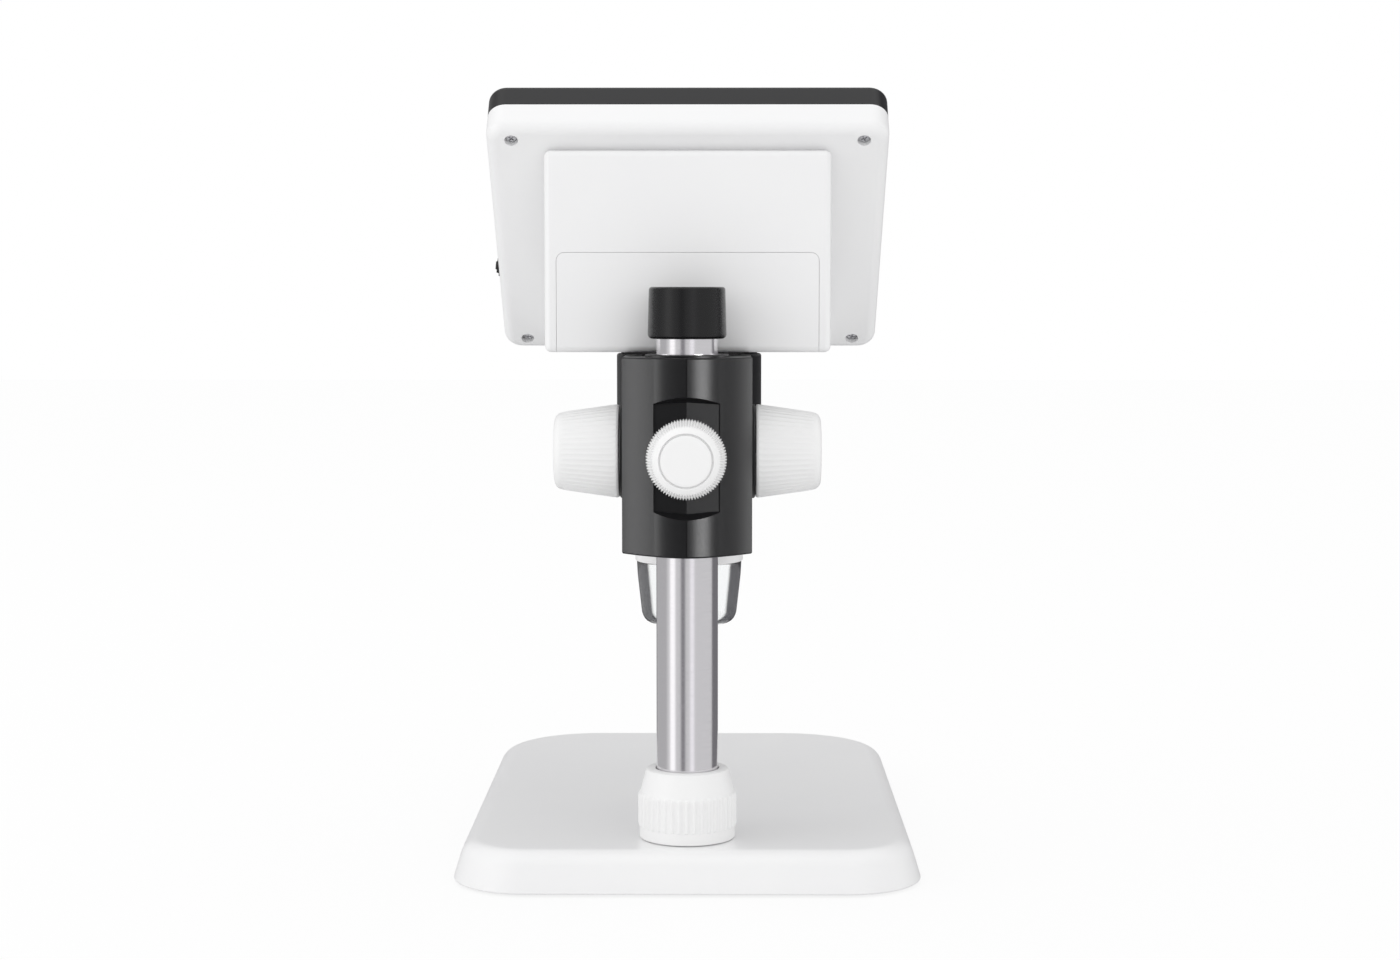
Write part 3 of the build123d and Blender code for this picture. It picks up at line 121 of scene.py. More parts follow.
# upright boards round the tent: place and width in degrees from the camera's side towards +X, and tone
boards = [
    (118, 74, shade_card), (56, 22, lit_box), (15, 16, grey_card), (-19, 16, dim_box), (-156, 98, dark_card),
]
board_edge = 5
tent_roof = "#FFFFFF"
roof_edge = (0.6, 0.9)

tent = bpy.data.worlds.new("tent")
scene.world = tent
tent.use_nodes = True
tree = tent.node_tree
tree.nodes.clear()
direction = add(tree, "ShaderNodeTexCoord").outputs["Generated"]
split = add(tree, "ShaderNodeSeparateXYZ", inputs={"Vector": direction})
bearing = add(tree, "ShaderNodeMath", {"operation": "ARCTAN2"}, {
    0: split.outputs["X"], 1: split.outputs["Y"],
})
round_tent = srgb(tent_cloth)
for facing, width, tone in boards:
    offset = add(tree, "ShaderNodeMath", {"operation": "SUBTRACT"}, {
        0: bearing.outputs[0], 1: math.radians(facing),
    })
    wrapped = add(tree, "ShaderNodeMath", {"operation": "WRAP"}, {
        0: offset.outputs[0], 1: math.pi, 2: -math.pi,
    })
    away = add(tree, "ShaderNodeMath", {"operation": "ABSOLUTE"}, {0: wrapped.outputs[0]})
    share = add(tree, "ShaderNodeMapRange", {"interpolation_type": "SMOOTHSTEP"}, {
        "Value": away.outputs[0],
        "From Min": math.radians(width / 2 + board_edge), "From Max": math.radians(width / 2 - board_edge),
        "To Min": 0.0, "To Max": 1.0,
    })
    hung = add(tree, "ShaderNodeMix", {"data_type": "RGBA"}, {
        0: share.outputs[0], 6: round_tent, 7: srgb(tone),
    })
    round_tent = hung.outputs[2]
overhead = add(tree, "ShaderNodeMapRange", {"interpolation_type": "SMOOTHSTEP"}, {
    "Value": split.outputs["Z"], "From Min": roof_edge[0], "From Max": roof_edge[1],
    "To Min": 0.0, "To Max": 1.0,
})
tent_inside = add(tree, "ShaderNodeMix", {"data_type": "RGBA"}, {
    0: overhead.outputs[0], 6: round_tent, 7: srgb(tent_roof),
})
rays = add(tree, "ShaderNodeLightPath")
tent_light = add(tree, "ShaderNodeBackground", inputs={"Color": srgb("#ECECEC"), "Strength": 1.25})
tent_mirror = add(tree, "ShaderNodeBackground", inputs={"Color": tent_inside.outputs[2], "Strength": 1.18})
tent_seen = add(tree, "ShaderNodeBackground", inputs={"Color": srgb("#FFFFFF"), "Strength": 1.0})
lit = add(tree, "ShaderNodeMixShader", inputs={
    0: rays.outputs["Is Glossy Ray"], 1: tent_light.outputs[0], 2: tent_mirror.outputs[0],
})
seen = add(tree, "ShaderNodeMath", {"operation": "MAXIMUM"}, {
    0: rays.outputs["Is Camera Ray"], 1: rays.outputs["Is Transmission Ray"],
})
shown = add(tree, "ShaderNodeMixShader", inputs={
    0: seen.outputs[0], 1: lit.outputs[0], 2: tent_seen.outputs[0],
})
add(tree, "ShaderNodeOutputWorld", inputs={"Surface": shown.outputs[0]})


stand_middle = Vector((0, 0, 0.12))


def softbox(name, place, size, power):
    """Hang a rectangular lamp that faces the stand. Gloss mirrors the tent's boards instead of it."""
    lamp = bpy.data.lights.new(name, "AREA")
    lamp.shape = "RECTANGLE"
    lamp.size, lamp.size_y = size
    lamp.energy = power
    box = bpy.data.objects.new(name, lamp)
    box.location = place
    box.rotation_euler = (stand_middle - Vector(place)).to_track_quat("-Z", "Y").to_euler()
    box.visible_glossy = False
    scene.collection.objects.link(box)
    return box


softbox("rear_softbox", (-0.5, 1.6, 0.55), (1.4, 1.2), 1.5)
softbox("side_softbox", (1.5, 0.5, 0.7), (1.0, 1.0), 3.6)

# Gloss panels: three upright panels that only draw highlights along the dark
# carriage and focus ring. Both join the panels' list where they are made.
dark_mouldings = bpy.data.collections.new("dark_mouldings")
for name, place, size, power in (
    ("right_gloss_panel", (-0.93, 1.03, 0.2), (0.7, 1.3), 66.0),
    ("left_gloss_panel", (1.3, 0.1, 0.2), (0.8, 1.3), 22.0),
    ("far_gloss_panel", (-1.28, -0.34, 0.2), (0.5, 1.3), 12.0),
):
    panel = softbox(name, place, size, power)
    panel.visible_glossy = True
    panel.visible_diffuse = False
    panel.visible_transmission = False
    panel.visible_camera = False
    panel.light_linking.receiver_collection = dark_mouldings

# Floor: a sweep of white paper. It glows white to the eye and through clear
# plastic, and still takes the object's shadow. Gloss shows the tent there.
floor_reach = 4
floor_corners = [(x * floor_reach, y * floor_reach, 0) for x, y in ((-1, -1), (1, -1), (1, 1), (-1, 1))]
floor_mesh = bpy.data.meshes.new("floor")
floor_mesh.from_pydata(floor_corners, [], [(0, 1, 2, 3)])
floor = bpy.data.objects.new("floor", floor_mesh)
floor.visible_glossy = False
scene.collection.objects.link(floor)
paper_glow = 0.85
floor_paper, tree = blank_material("floor_paper")
rays = add(tree, "ShaderNodeLightPath")
paper = add(tree, "ShaderNodeBsdfDiffuse", inputs={"Color": srgb("#F0F0F0")})
glow = add(tree, "ShaderNodeEmission", inputs={"Color": srgb("#FFFFFF"), "Strength": 1.0})
direct = add(tree, "ShaderNodeMath", {"operation": "MAXIMUM"}, {
    0: rays.outputs["Is Camera Ray"], 1: rays.outputs["Is Transmission Ray"],
})
lifted = add(tree, "ShaderNodeMath", {"operation": "MULTIPLY"}, {0: direct.outputs[0], 1: paper_glow})
sheet = add(tree, "ShaderNodeMixShader", inputs={
    0: lifted.outputs[0], 1: paper.outputs[0], 2: glow.outputs[0],
})
add(tree, "ShaderNodeOutputMaterial", inputs={"Surface": sheet.outputs[0]})
floor_mesh.materials.append(floor_paper)

# ---------------------------------------------------------------------------
# Base: a shallow tray moulded in glossy white ABS, its walls drafted and its
# top edge rolled over. A black plate screwed on from below closes it.
mm = 0.001


def round_corners(points, radii, steps=6):
    """Outline with rounded corners; a radius of 0 keeps a corner or an end as it is."""
    outline = []
    for here, radius in enumerate(radii):
        corner = Vector(points[here])
        if radius == 0:
            outline.append(corner)
            continue
        before = points[here - 1]
        after = points[(here + 1) % len(points)]
        back = (Vector(before) - corner).normalized()
        ahead = (Vector(after) - corner).normalized()
        half = back.angle(ahead) / 2
        centre = corner + (back + ahead).normalized() * radius / math.sin(half)
        spoke = corner + back * radius / math.tan(half) - centre
        sweep = math.pi - 2 * half
        if back.x * ahead.y - back.y * ahead.x > 0:
            sweep = -sweep
        for step in range(steps + 1):
            outline.append(centre + Matrix.Rotation(sweep * step / steps, 2) @ spoke)
    return outline


def skin(rings, wrapped=False):
    """Mesh through rings of points. Its ends are capped, or joined to each other where it wraps."""
    made = bmesh.new()
    laid = [[made.verts.new(point) for point in ring] for ring in rings]
    pairs = list(zip(laid, laid[1:]))
    if wrapped:
        pairs.append((laid[-1], laid[0]))
    for low, high in pairs:
        count = max(len(low), len(high))
        for k in range(count):
            n = (k + 1) % count
            if len(low) == 1:
                made.faces.new((low[0], high[n], high[k]))
            elif len(high) == 1:
                made.faces.new((low[k], low[n], high[0]))
            else:
                made.faces.new((low[k], low[n], high[n], high[k]))
    for ring in (laid[0], laid[-1]):
        if len(ring) > 2 and not wrapped:
            made.faces.new(ring)
    bmesh.ops.recalc_face_normals(made, faces=made.faces)
    mesh = bpy.data.meshes.new("skin")
    made.to_mesh(mesh)
    made.free()
    return mesh


def moulding(size, corners, section, place=Matrix(), steps=8):
    """Rounded rectangle lofted through a section of (inset, level) points, laid out by a matrix."""
    half_x, half_y = size[0] / 2, size[1] / 2
    rings = []
    for inset, level in section:
        x, y = half_x - inset, half_y - inset
        flat = round_corners(
            [(x, -y), (x, y), (-x, y), (-x, -y)],
            [max(corner - inset, 0.05 * mm) for corner in corners],
            steps,
        )
        rings.append([place @ Vector((point.x, point.y, level)) for point in flat])
    return skin(rings)


def piece(name, mesh, material, body, slot, *stands_for, crease=32):
    """Shade a mesh smooth up to its creases, and put it in place as a piece that rides on a CAD body."""
    shaped = bmesh.new()
    shaped.from_mesh(mesh)
    bmesh.ops.remove_doubles(shaped, verts=shaped.verts, dist=0.003 * mm)
    for face in shaped.faces:
        face.smooth = True
    for edge in shaped.edges:
        edge.smooth = len(edge.link_faces) == 2 and edge.calc_face_angle(0) < math.radians(crease)
    shaped.to_mesh(mesh)
    shaped.free()
    mesh.name = name
    mesh.materials.clear()
    mesh.materials.append(material)
    made = bpy.data.objects.new(name, mesh)
    scene.collection.objects.link(made)
    made.modifiers.new("even_shading", "WEIGHTED_NORMAL").keep_sharp = True
    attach(made, body)
    if stands_for:
        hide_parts(*stands_for)
    return made


def dress(material, *nodes):
    """Give CAD nodes that keep their own shape a finish in place of the plain one."""
    for name in nodes:
        for holder in frame["nodes"][name].material_slots:
            holder.material = material


def moulded_plastic(name, colour, drift, grain, rough, spread, relief, shine=0.5):
    """Moulded ABS: its colour drifts a little over the part, and the grain of the mould breaks up the gloss.

    Real mould grain is near 0.05 mm. It is drawn about ten times coarser, so that it shows.
    """
    material, tree = blank_material(name)
    place = add(tree, "ShaderNodeTexCoord").outputs["Object"]
    flow = add(tree, "ShaderNodeTexNoise", inputs={"Vector": place, "Scale": 1 / (45 * mm), "Detail": 2.0})
    tint = add(tree, "ShaderNodeMix", {"data_type": "RGBA"}, {
        0: flow.outputs["Fac"], 6: srgb(colour), 7: srgb(drift),
    })
    pits = add(tree, "ShaderNodeTexNoise", inputs={"Vector": place, "Scale": 1 / grain, "Detail": 3.0})
    gloss = add(tree, "ShaderNodeMapRange", inputs={
        "Value": pits.outputs["Fac"], "From Min": 0.3, "From Max": 0.7,
        "To Min": rough - spread, "To Max": rough + spread,
    })
    bump = add(tree, "ShaderNodeBump", inputs={
        "Height": pits.outputs["Fac"], "Strength": 0.35, "Distance": relief,
    })
    shader = add(tree, "ShaderNodeBsdfPrincipled", inputs={
        "Base Color": tint.outputs[2], "Roughness": gloss.outputs[0], "Normal": bump.outputs[0], "IOR": 1.54,
        "Specular IOR Level": shine,
    })
    add(tree, "ShaderNodeOutputMaterial", inputs={"Surface": shader.outputs[0]})
    return material


base_low, base_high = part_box("base_shell")
base_size = base_high - base_low
base_middle = (base_low + base_high) / 2
base_draft = math.radians(17)
base_wall = 2.2 * mm
base_roll = 6 * mm
lean_in = base_size.z * math.tan(base_draft)

# polished moulding: broad soft reflections that fade slowly over the flat top
gloss_white_abs = moulded_plastic("gloss_white_abs", "#EDEDED", "#E9E9EA", 0.45 * mm, 0.34, 0.05, 0.004 * mm)

base_section = round_corners(
    [
        (base_wall, 3 * mm),
        (base_wall, 0),
        (0, 0),
        (lean_in, base_size.z),
        (lean_in + 8 * mm, base_size.z),
    ],
    [0, 0, 0.4 * mm, base_roll, 0],
    steps=10,
)
base_mesh = moulding(
    base_size,
    [38 * mm, 24 * mm, 24 * mm, 38 * mm],
    base_section,
    Matrix.Translation((base_middle.x, base_middle.y, base_low.z)),
    steps=20,
)
piece("base_cover", base_mesh, gloss_white_abs, "stand", "white_case", "base_shell")

# eroded tool finish: an even fine grain that keeps black from mirroring
black_abs = moulded_plastic("black_abs", "#1B1B1C", "#18181A", 0.5 * mm, 0.34, 0.05, 0.006 * mm, shine=0.14)
dress(black_abs, "base_plate")

# ---------------------------------------------------------------------------
# Feet and fixings under the base: four pushed-in rubber feet, zinc-plated
# countersunk screws, the bolt that pulls the column down and an iron weight.
def plain_grain(
    name, colour, other, grain, rough, metallic=0.0, relief=0.01 * mm, stretch=(1, 1, 1), shine=0.5,
):
    """One-colour stuff whose fine grain shifts its tone and its gloss, such as rubber or plated metal.

    Grain finer than 0.2 mm wouldn't show, so it is drawn coarser than real, at 0.25 to 2 mm.
    """
    material, tree = blank_material(name)
    place = add(tree, "ShaderNodeTexCoord").outputs["Object"]
    pull = add(tree, "ShaderNodeMapping", inputs={"Vector": place, "Scale": stretch})
    fleck = add(tree, "ShaderNodeTexNoise", inputs={
        "Vector": pull.outputs[0], "Scale": 1 / grain, "Detail": 4.0,
    })
    tint = add(tree, "ShaderNodeMix", {"data_type": "RGBA"}, {
        0: fleck.outputs["Fac"], 6: srgb(colour), 7: srgb(other),
    })
    gloss = add(tree, "ShaderNodeMapRange", inputs={
        "Value": fleck.outputs["Fac"], "From Min": 0.3, "From Max": 0.7,
        "To Min": rough * 0.8, "To Max": rough * 1.2,
    })
    bump = add(tree, "ShaderNodeBump", inputs={
        "Height": fleck.outputs["Fac"], "Strength": 0.3, "Distance": relief,
    })
    shader = add(tree, "ShaderNodeBsdfPrincipled", inputs={
        "Base Color": tint.outputs[2], "Roughness": gloss.outputs[0], "Normal": bump.outputs[0],
        "Metallic": metallic, "Specular IOR Level": shine,
    })
    add(tree, "ShaderNodeOutputMaterial", inputs={"Surface": shader.outputs[0]})
    return material


# moulded rubber: dull, near black, with no reflections to speak of
foot_rubber = plain_grain("foot_rubber", "#1E1E1F", "#2A2A2B", 0.3 * mm, 0.75, relief=0.03 * mm)
# bright zinc: a soft grey metal sheen with a faint cloudiness
zinc_plate = plain_grain("zinc_plate", "#A3A4A8", "#8B8C92", 0.4 * mm, 0.32, metallic=1.0)
# sand-cast iron: dark and pitted, with only a broad dull sheen
cast_iron = plain_grain("cast_iron", "#3A3A3B", "#2B2B2C", 0.8 * mm, 0.6, metallic=1.0, relief=0.06 * mm)
dress(foot_rubber, "rubber_feet")
dress(zinc_plate, "base_screws", "column_bolt", "column_plug", "ring_screws", "knob_screws")
dress(cast_iron, "ballast_plate")
dress(gloss_white_abs, "column_spigot")

# ---------------------------------------------------------------------------
# Column: a bright drawn steel tube with a slot milled down its front, and the
# toothed rack pressed into the slot.
def turned(outline, foot, direction=(0, 0, 1), steps=96, ribs=0, hollow=False):
    """Turn (radius, height) points about an axis. A third number is how far ribs stand out there."""
    lean_over = Vector((0, 0, 1)).rotation_difference(Vector(direction))
    stand = Matrix.Translation(foot) @ lean_over.to_matrix().to_4x4()
    rib_fullness = 0.6
    rings = []
    for radius, height, *proud in outline:
        ring = []
        for k in range(steps if radius > 0 else 1):
            angle = 2 * math.pi * k / steps
            crest = max(0, math.cos(ribs * angle)) ** rib_fullness if proud else 0
            reach = radius + crest * sum(proud)
            ring.append(stand @ Vector((reach * math.cos(angle), reach * math.sin(angle), height)))
        rings.append(ring)
    return skin(rings, wrapped=hollow)


def modified(mesh, kind, **settings):
    """Mesh as one modifier leaves it."""
    work = bpy.data.objects.new("work", mesh)
    scene.collection.objects.link(work)
    step = work.modifiers.new("step", kind)
    for name, value in settings.items():
        setattr(step, name, value)
    bpy.context.view_layer.update()
    done = bpy.data.meshes.new_from_object(work.evaluated_get(bpy.context.evaluated_depsgraph_get()))
    bpy.data.objects.remove(work)
    return done


def cut(mesh, *tools, operation="DIFFERENCE"):
    """Cut a mesh with all its tools in one step, or join them to it, and give back the new mesh."""
    rack = bpy.data.collections.new("rack")
    scene.collection.children.link(rack)
    for tool in tools:
        rack.objects.link(bpy.data.objects.new("knife", tool))
    done = modified(
        mesh, "BOOLEAN", operand_type="COLLECTION", collection=rack, operation=operation, solver="EXACT",
    )
    for knife in list(rack.objects):
        bpy.data.objects.remove(knife)
    bpy.data.collections.remove(rack)
    return done


def upright(points, low, high):
    """Plan outline pulled up from one level to another."""
    return skin([[Vector((x, y, level)) for x, y in points] for level in (low, high)])


def block(low, high):
    """Square-cornered tool between two corners."""
    corners = [(low[0], low[1]), (high[0], low[1]), (high[0], high[1]), (low[0], high[1])]
    return upright(corners, low[2], high[2])


column_low, column_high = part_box("column_tube")
rack_low, rack_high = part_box("gear_rack")
column_x, column_y = 0.0, (column_low.y + column_high.y) / 2
column_radius = (column_high.x - column_low.x) / 2
column_bore = 7 * mm
column_rise = column_high.z - column_low.z
slot_play = 0.05 * mm
end_chamfer = 0.4 * mm

# centreless-ground steel: mirror-bright bands, with faint dull rings from the grinding
drawn_steel, tree = blank_material("drawn_steel")
place = add(tree, "ShaderNodeTexCoord").outputs["Object"]
pull = add(tree, "ShaderNodeMapping", inputs={"Vector": place, "Scale": (0.12, 0.12, 1.0)})
rings = add(tree, "ShaderNodeTexNoise", inputs={
    "Vector": pull.outputs[0], "Scale": 1 / (0.5 * mm), "Detail": 3.0,
})
gloss = add(tree, "ShaderNodeMapRange", inputs={
    "Value": rings.outputs["Fac"], "From Min": 0.3, "From Max": 0.7, "To Min": 0.13, "To Max": 0.21,
})
tint = add(tree, "ShaderNodeMix", {"data_type": "RGBA"}, {
    0: rings.outputs["Fac"], 6: srgb("#F0EEF0"), 7: srgb("#E9E7EA"),
})
shader = add(tree, "ShaderNodeBsdfPrincipled", inputs={
    "Base Color": tint.outputs[2], "Roughness": gloss.outputs[0], "Metallic": 1.0,
})
add(tree, "ShaderNodeOutputMaterial", inputs={"Surface": shader.outputs[0]})

tube = turned(
    [
        (column_bore, 0),
        (column_radius, 0),
        (column_radius, column_rise - end_chamfer),
        (column_radius - end_chamfer, column_rise),
        (column_bore, column_rise),
    ],
    (column_x, column_y, column_low.z),
    steps=160,
    hollow=True,
)
slot = block(
    (rack_low.x - slot_play, column_low.y - 1 * mm, rack_low.z - 3 * slot_play),
    (rack_high.x + slot_play, rack_high.y, rack_high.z + 3 * slot_play),
)
piece("column", cut(tube, slot), drawn_steel, "stand", "column_steel", "column_tube")

# hobbed steel: cutter marks run across the teeth
milled_steel = plain_grain(
    "milled_steel", "#97989C", "#7E7F84", 0.35 * mm, 0.34, metallic=1.0, stretch=(0.1, 1, 1),
)
dress(milled_steel, "gear_rack")

# ---------------------------------------------------------------------------
# Column cap: a moulded black plug cap, with a slight taper and a rounded rim.
# It is pressed over the tube's end.

# satin tool finish: deep black under one narrow soft highlight
black_satin = moulded_plastic(
    "black_satin", "#111112", "#131314", 0.4 * mm, 0.27, 0.02, 0.001 * mm, shine=0.36,
)
cap_low, cap_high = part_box("top_cap")
cap_rise = cap_high.z - cap_low.z
cap_radius = (cap_high.x - cap_low.x) / 2
cap_taper = 0.42 * mm
cap_bore = column_radius + 0.03 * mm
cap_depth = 13.9 * mm
cap_outline = round_corners(
    [
        (cap_bore, cap_depth),
        (cap_bore, 0),
        (cap_radius, 0),
        (cap_radius - cap_taper, cap_rise),
        (0, cap_rise),
    ],
    [0, 0.3 * mm, 1.4 * mm, 0.9 * mm, 0],
)
cap_outline.insert(0, (0, cap_depth))
piece(
    "column_cap",
    turned(cap_outline, (column_x, column_y, cap_low.z), steps=128),
    black_satin, "stand", "black_satin", "top_cap",
)

# ---------------------------------------------------------------------------
# Collar nut: a white moulded nut with forty rounded grip ribs over a plain
# rim, and a cone that closes on the column.

# fine matt tool finish: an even white that doesn't mirror, so the ribs read by their shade
matt_white_abs = moulded_plastic("matt_white_abs", "#EDEDED", "#EAEAEA", 0.4 * mm, 0.40, 0.05, 0.005 * mm)
collar_low, collar_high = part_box("collar_nut")
collar_radius = 14.8 * mm
collar_rise = collar_high.z - collar_low.z
rib_foot = 3.8 * mm
rib_top = 14.2 * mm
rib_proud = 0.5 * mm
collar_ribs = 40
collar_outline = [
    (12.3 * mm, 0),
    (collar_radius - 0.3 * mm, 0),
    (collar_radius, 0.3 * mm),
    (collar_radius, rib_foot),
    (collar_radius, rib_foot + 0.1 * mm, rib_proud * 0.7),
    (collar_radius, rib_foot + 0.6 * mm, rib_proud),
    (collar_radius, rib_top - 1.2 * mm, rib_proud),
    (collar_radius, rib_top - 0.3 * mm, rib_proud * 0.6),
    (collar_radius - 0.05 * mm, rib_top, 0.0),
    (collar_radius - 0.3 * mm, rib_top + 0.4 * mm),
    (12.9 * mm, collar_rise - 0.9 * mm),
    (12.6 * mm, collar_rise - 0.35 * mm),
    (11.9 * mm, collar_rise),
    (column_radius + 0.5 * mm, collar_rise),
    (column_radius + 0.3 * mm, collar_rise - 0.2 * mm),
    (column_radius + 0.3 * mm, collar_rise - 4 * mm),
    (12.3 * mm, collar_rise - 4 * mm),
]
collar_mesh = turned(
    collar_outline, (column_x, column_y, collar_low.z),
    steps=collar_ribs * 10, ribs=collar_ribs, hollow=True,
)
piece("collar_grip", collar_mesh, matt_white_abs, "collar", "white_knob", "collar_nut")

# ---------------------------------------------------------------------------
# Carriage: a black moulding that slides on the column. Its back is a bulge
# between two wings, split by the mould's parting line, with a sunk pocket for
# the lock knob.
def arc(start, through, end, steps):
    """Points on the arc through three points, without its last one."""
    (ax, ay), (bx, by), (cx, cy) = start, through, end
    d = 2 * (ax * (by - cy) + bx * (cy - ay) + cx * (ay - by))
    ux = ((ax**2 + ay**2) * (by - cy) + (bx**2 + by**2) * (cy - ay) + (cx**2 + cy**2) * (ay - by)) / d
    uy = ((ax**2 + ay**2) * (cx - bx) + (bx**2 + by**2) * (ax - cx) + (cx**2 + cy**2) * (bx - ax)) / d
    centre = Vector((ux, uy))
    first = Vector(start) - centre
    midway = Vector(through) - centre
    sweep = first.angle_signed(midway) + midway.angle_signed(Vector(end) - centre)
    return [centre + Matrix.Rotation(-sweep * step / steps, 2) @ first for step in range(steps)]


def ease(mesh, width, steps=3, limit=40):
    """Round off the sharp edges of a mesh, as a mould or a file leaves them."""
    return modified(
        mesh, "BEVEL", width=width, segments=steps, limit_method="ANGLE", angle_limit=math.radians(limit),
        use_clamp_overlap=True,
    )


def side_prism(points, half_x):
    """Side-view outline pulled out to both sides."""
    return skin([[Vector((x, y, z)) for y, z in points] for x in (-half_x, half_x)])


def drill(radius, start, end, foot, direction=(0, 0, 1), steps=40):
    """Round tool along an axis, between two distances from its foot."""
    return turned([(0, start), (radius, start), (radius, end), (0, end)], foot, direction, steps=steps)


carriage_low, carriage_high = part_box("carriage_body")
pinion_low, pinion_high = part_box("pinion_shaft")
pinion_y = (pinion_low.y + pinion_high.y) / 2
pinion_z = (pinion_low.z + pinion_high.z) / 2
half_width = 20 * mm
bulge = 10 * mm
shoulder = 12.4 * mm
bulge_back = 17 * mm
wing_corner = 2.5 * mm
wing_bow = (15.3 * mm, 7.8 * mm)
bulge_bow = (5.38 * mm, 15.52 * mm)
front_face = -30 * mm
rim_rise = 0.8 * mm
carriage_top = carriage_high.z - rim_rise
boss_radius = 14.8 * mm
boss_edge = 0.4 * mm
pocket_low = 115.7 * mm
pocket_high = 148.6 * mm
pocket_ledge = 2.6 * mm
pocket_half = 10.1 * mm
pocket_floor = shoulder - 1.1 * mm
pocket_crest = shoulder + 1.0 * mm
bush_way = 4.03 * mm
way_low, way_high = 100 * mm, 165 * mm

cross_section = (
    arc((half_width, wing_corner), wing_bow, (bulge, shoulder), 14)
    + arc((bulge, shoulder), bulge_bow, (0, bulge_back), 18)
    + arc((0, bulge_back), (-bulge_bow[0], bulge_bow[1]), (-bulge, shoulder), 18)
    + arc((-bulge, shoulder), (-wing_bow[0], wing_bow[1]), (-half_width, wing_corner), 14)
    + [Vector((-half_width, wing_corner))]
    + round_corners(
        [
            (-half_width, wing_corner), (-half_width, front_face),
            (half_width, front_face), (half_width, wing_corner),
        ],
        [0, 3 * mm, 3 * mm, 0],
    )[1:-1]
)
body = upright([(point.x, column_y + point.y) for point in cross_section], carriage_low.z, carriage_top)
body = ease(body, 0.6 * mm, steps=6)
pocket_side = [
    (column_y + pocket_floor, pocket_low + 0.5 * mm),
    (column_y + pocket_floor, pocket_high - 0.5 * mm),
    (column_y + bulge_back + 1 * mm, pocket_high + pocket_ledge),
    (column_y + bulge_back + 1 * mm, pocket_low - pocket_ledge),
]
ridge_foot = pocket_floor - 0.1 * mm
ridge_half = 13.3 * mm
ridge = upright(
    [(x, column_y + y) for x, y in ((-ridge_half, ridge_foot), (ridge_half, ridge_foot), (0, pocket_crest))],
    pocket_low - 4 * mm, pocket_high + 4 * mm,
)
pocket = cut(side_prism(pocket_side, pocket_half), ridge)
bosses = turned(
    [
        (0, carriage_low.x),
        (boss_radius - boss_edge, carriage_low.x),
        (boss_radius, carriage_low.x + boss_edge),
        (boss_radius, carriage_high.x - boss_edge),
        (boss_radius - boss_edge, carriage_high.x),
        (0, carriage_high.x),
    ],
    (0, pinion_y, pinion_z), (1, 0, 0), steps=128,
)
rim = turned(
    [
        (0, carriage_top - 2 * mm), (13 * mm, carriage_top - 2 * mm),
        (13 * mm, carriage_top + 0.5 * mm), (12.7 * mm, carriage_high.z), (0, carriage_high.z),
    ],
    (column_x, column_y, 0), steps=128,
)
body = cut(body, bosses, rim, operation="UNION")
bore = drill(
    column_radius + 0.05 * mm, -1 * mm, 63 * mm, (column_x, column_y, carriage_low.z), steps=128,
)
rack_way = block((-3.3 * mm, rack_low.y - 0.3 * mm, way_low), (3.3 * mm, column_y, way_high))
shaft_way = drill(bush_way, -22 * mm, 22 * mm, (0, pinion_y, pinion_z), (1, 0, 0), steps=48)
insert_way = drill(bush_way, 0, 18 * mm, (0, column_y, pinion_z), (0, 1, 0), steps=48)
parting = block(
    (-0.2 * mm, column_y + bulge_back - 0.4 * mm, way_low),
    (0.2 * mm, column_y + bulge_back + 1 * mm, way_high),
)
body = cut(body, pocket, bore, rack_way, shaft_way, insert_way, parting)
dark_mouldings.objects.link(
    piece("carriage", body, black_abs, "carriage", "black_case", "carriage_body", crease=17)
)

# sintered bronze: warm, slightly grainy, worn bright where it runs
bronze_bush = plain_grain("bronze_bush", "#B08A4A", "#9C7638", 0.5 * mm, 0.30, metallic=1.0)
dress(bronze_bush, "shaft_bushes", "lock_insert", "pinion_gear")
# ground steel rod: bright, with fine marks round it
ground_steel = plain_grain(
    "ground_steel", "#B9BABE", "#A8A9AE", 0.4 * mm, 0.22, metallic=1.0, stretch=(1, 0.15, 0.15),
)
dress(ground_steel, "pinion_shaft", "lock_screw")

# ---------------------------------------------------------------------------
# Clamp ring: a black split-free ring on an arm, screwed to the carriage's
# front face. It holds the camera barrel in a thin liner.
ring_low, ring_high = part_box("barrel_ring")
tube_low, tube_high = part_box("barrel_tube")
barrel_y = (tube_low.y + tube_high.y) / 2
ring_radius = (ring_high.x - ring_low.x) / 2
ring_bore = 19.65 * mm
arm_half = 14 * mm
ring_rise = ring_high.z - ring_low.z
ring_edge = 0.8 * mm
hoop = turned(
    round_corners(
        [(0, 0), (ring_radius, 0), (ring_radius, ring_rise), (0, ring_rise)],
        [0, ring_edge, ring_edge, 0], steps=4,
    ),
    (0, barrel_y, ring_low.z), steps=160,
)
arm = block((-arm_half, barrel_y, ring_low.z), (arm_half, ring_high.y, ring_high.z))
hoop = cut(hoop, ease(arm, 0.4 * mm), operation="UNION")
ring_screw_edge = 8 * mm
ring_tools = [drill(ring_bore, -1 * mm, ring_rise + 1 * mm, (0, barrel_y, ring_low.z), steps=160)]
for height in (ring_low.z + ring_screw_edge, ring_high.z - ring_screw_edge):
    counterbore = drill(3.05 * mm, 0, 22.25 * mm, (0, barrel_y, height), (0, 1, 0))
    shank_way = drill(1.65 * mm, 15 * mm, 31 * mm, (0, barrel_y, height), (0, 1, 0))
    ring_tools += [counterbore, shank_way]
piece("clamp_ring", cut(hoop, *ring_tools), black_abs, "carriage", "black_case", "barrel_ring")
dress(black_satin, "ring_liner")

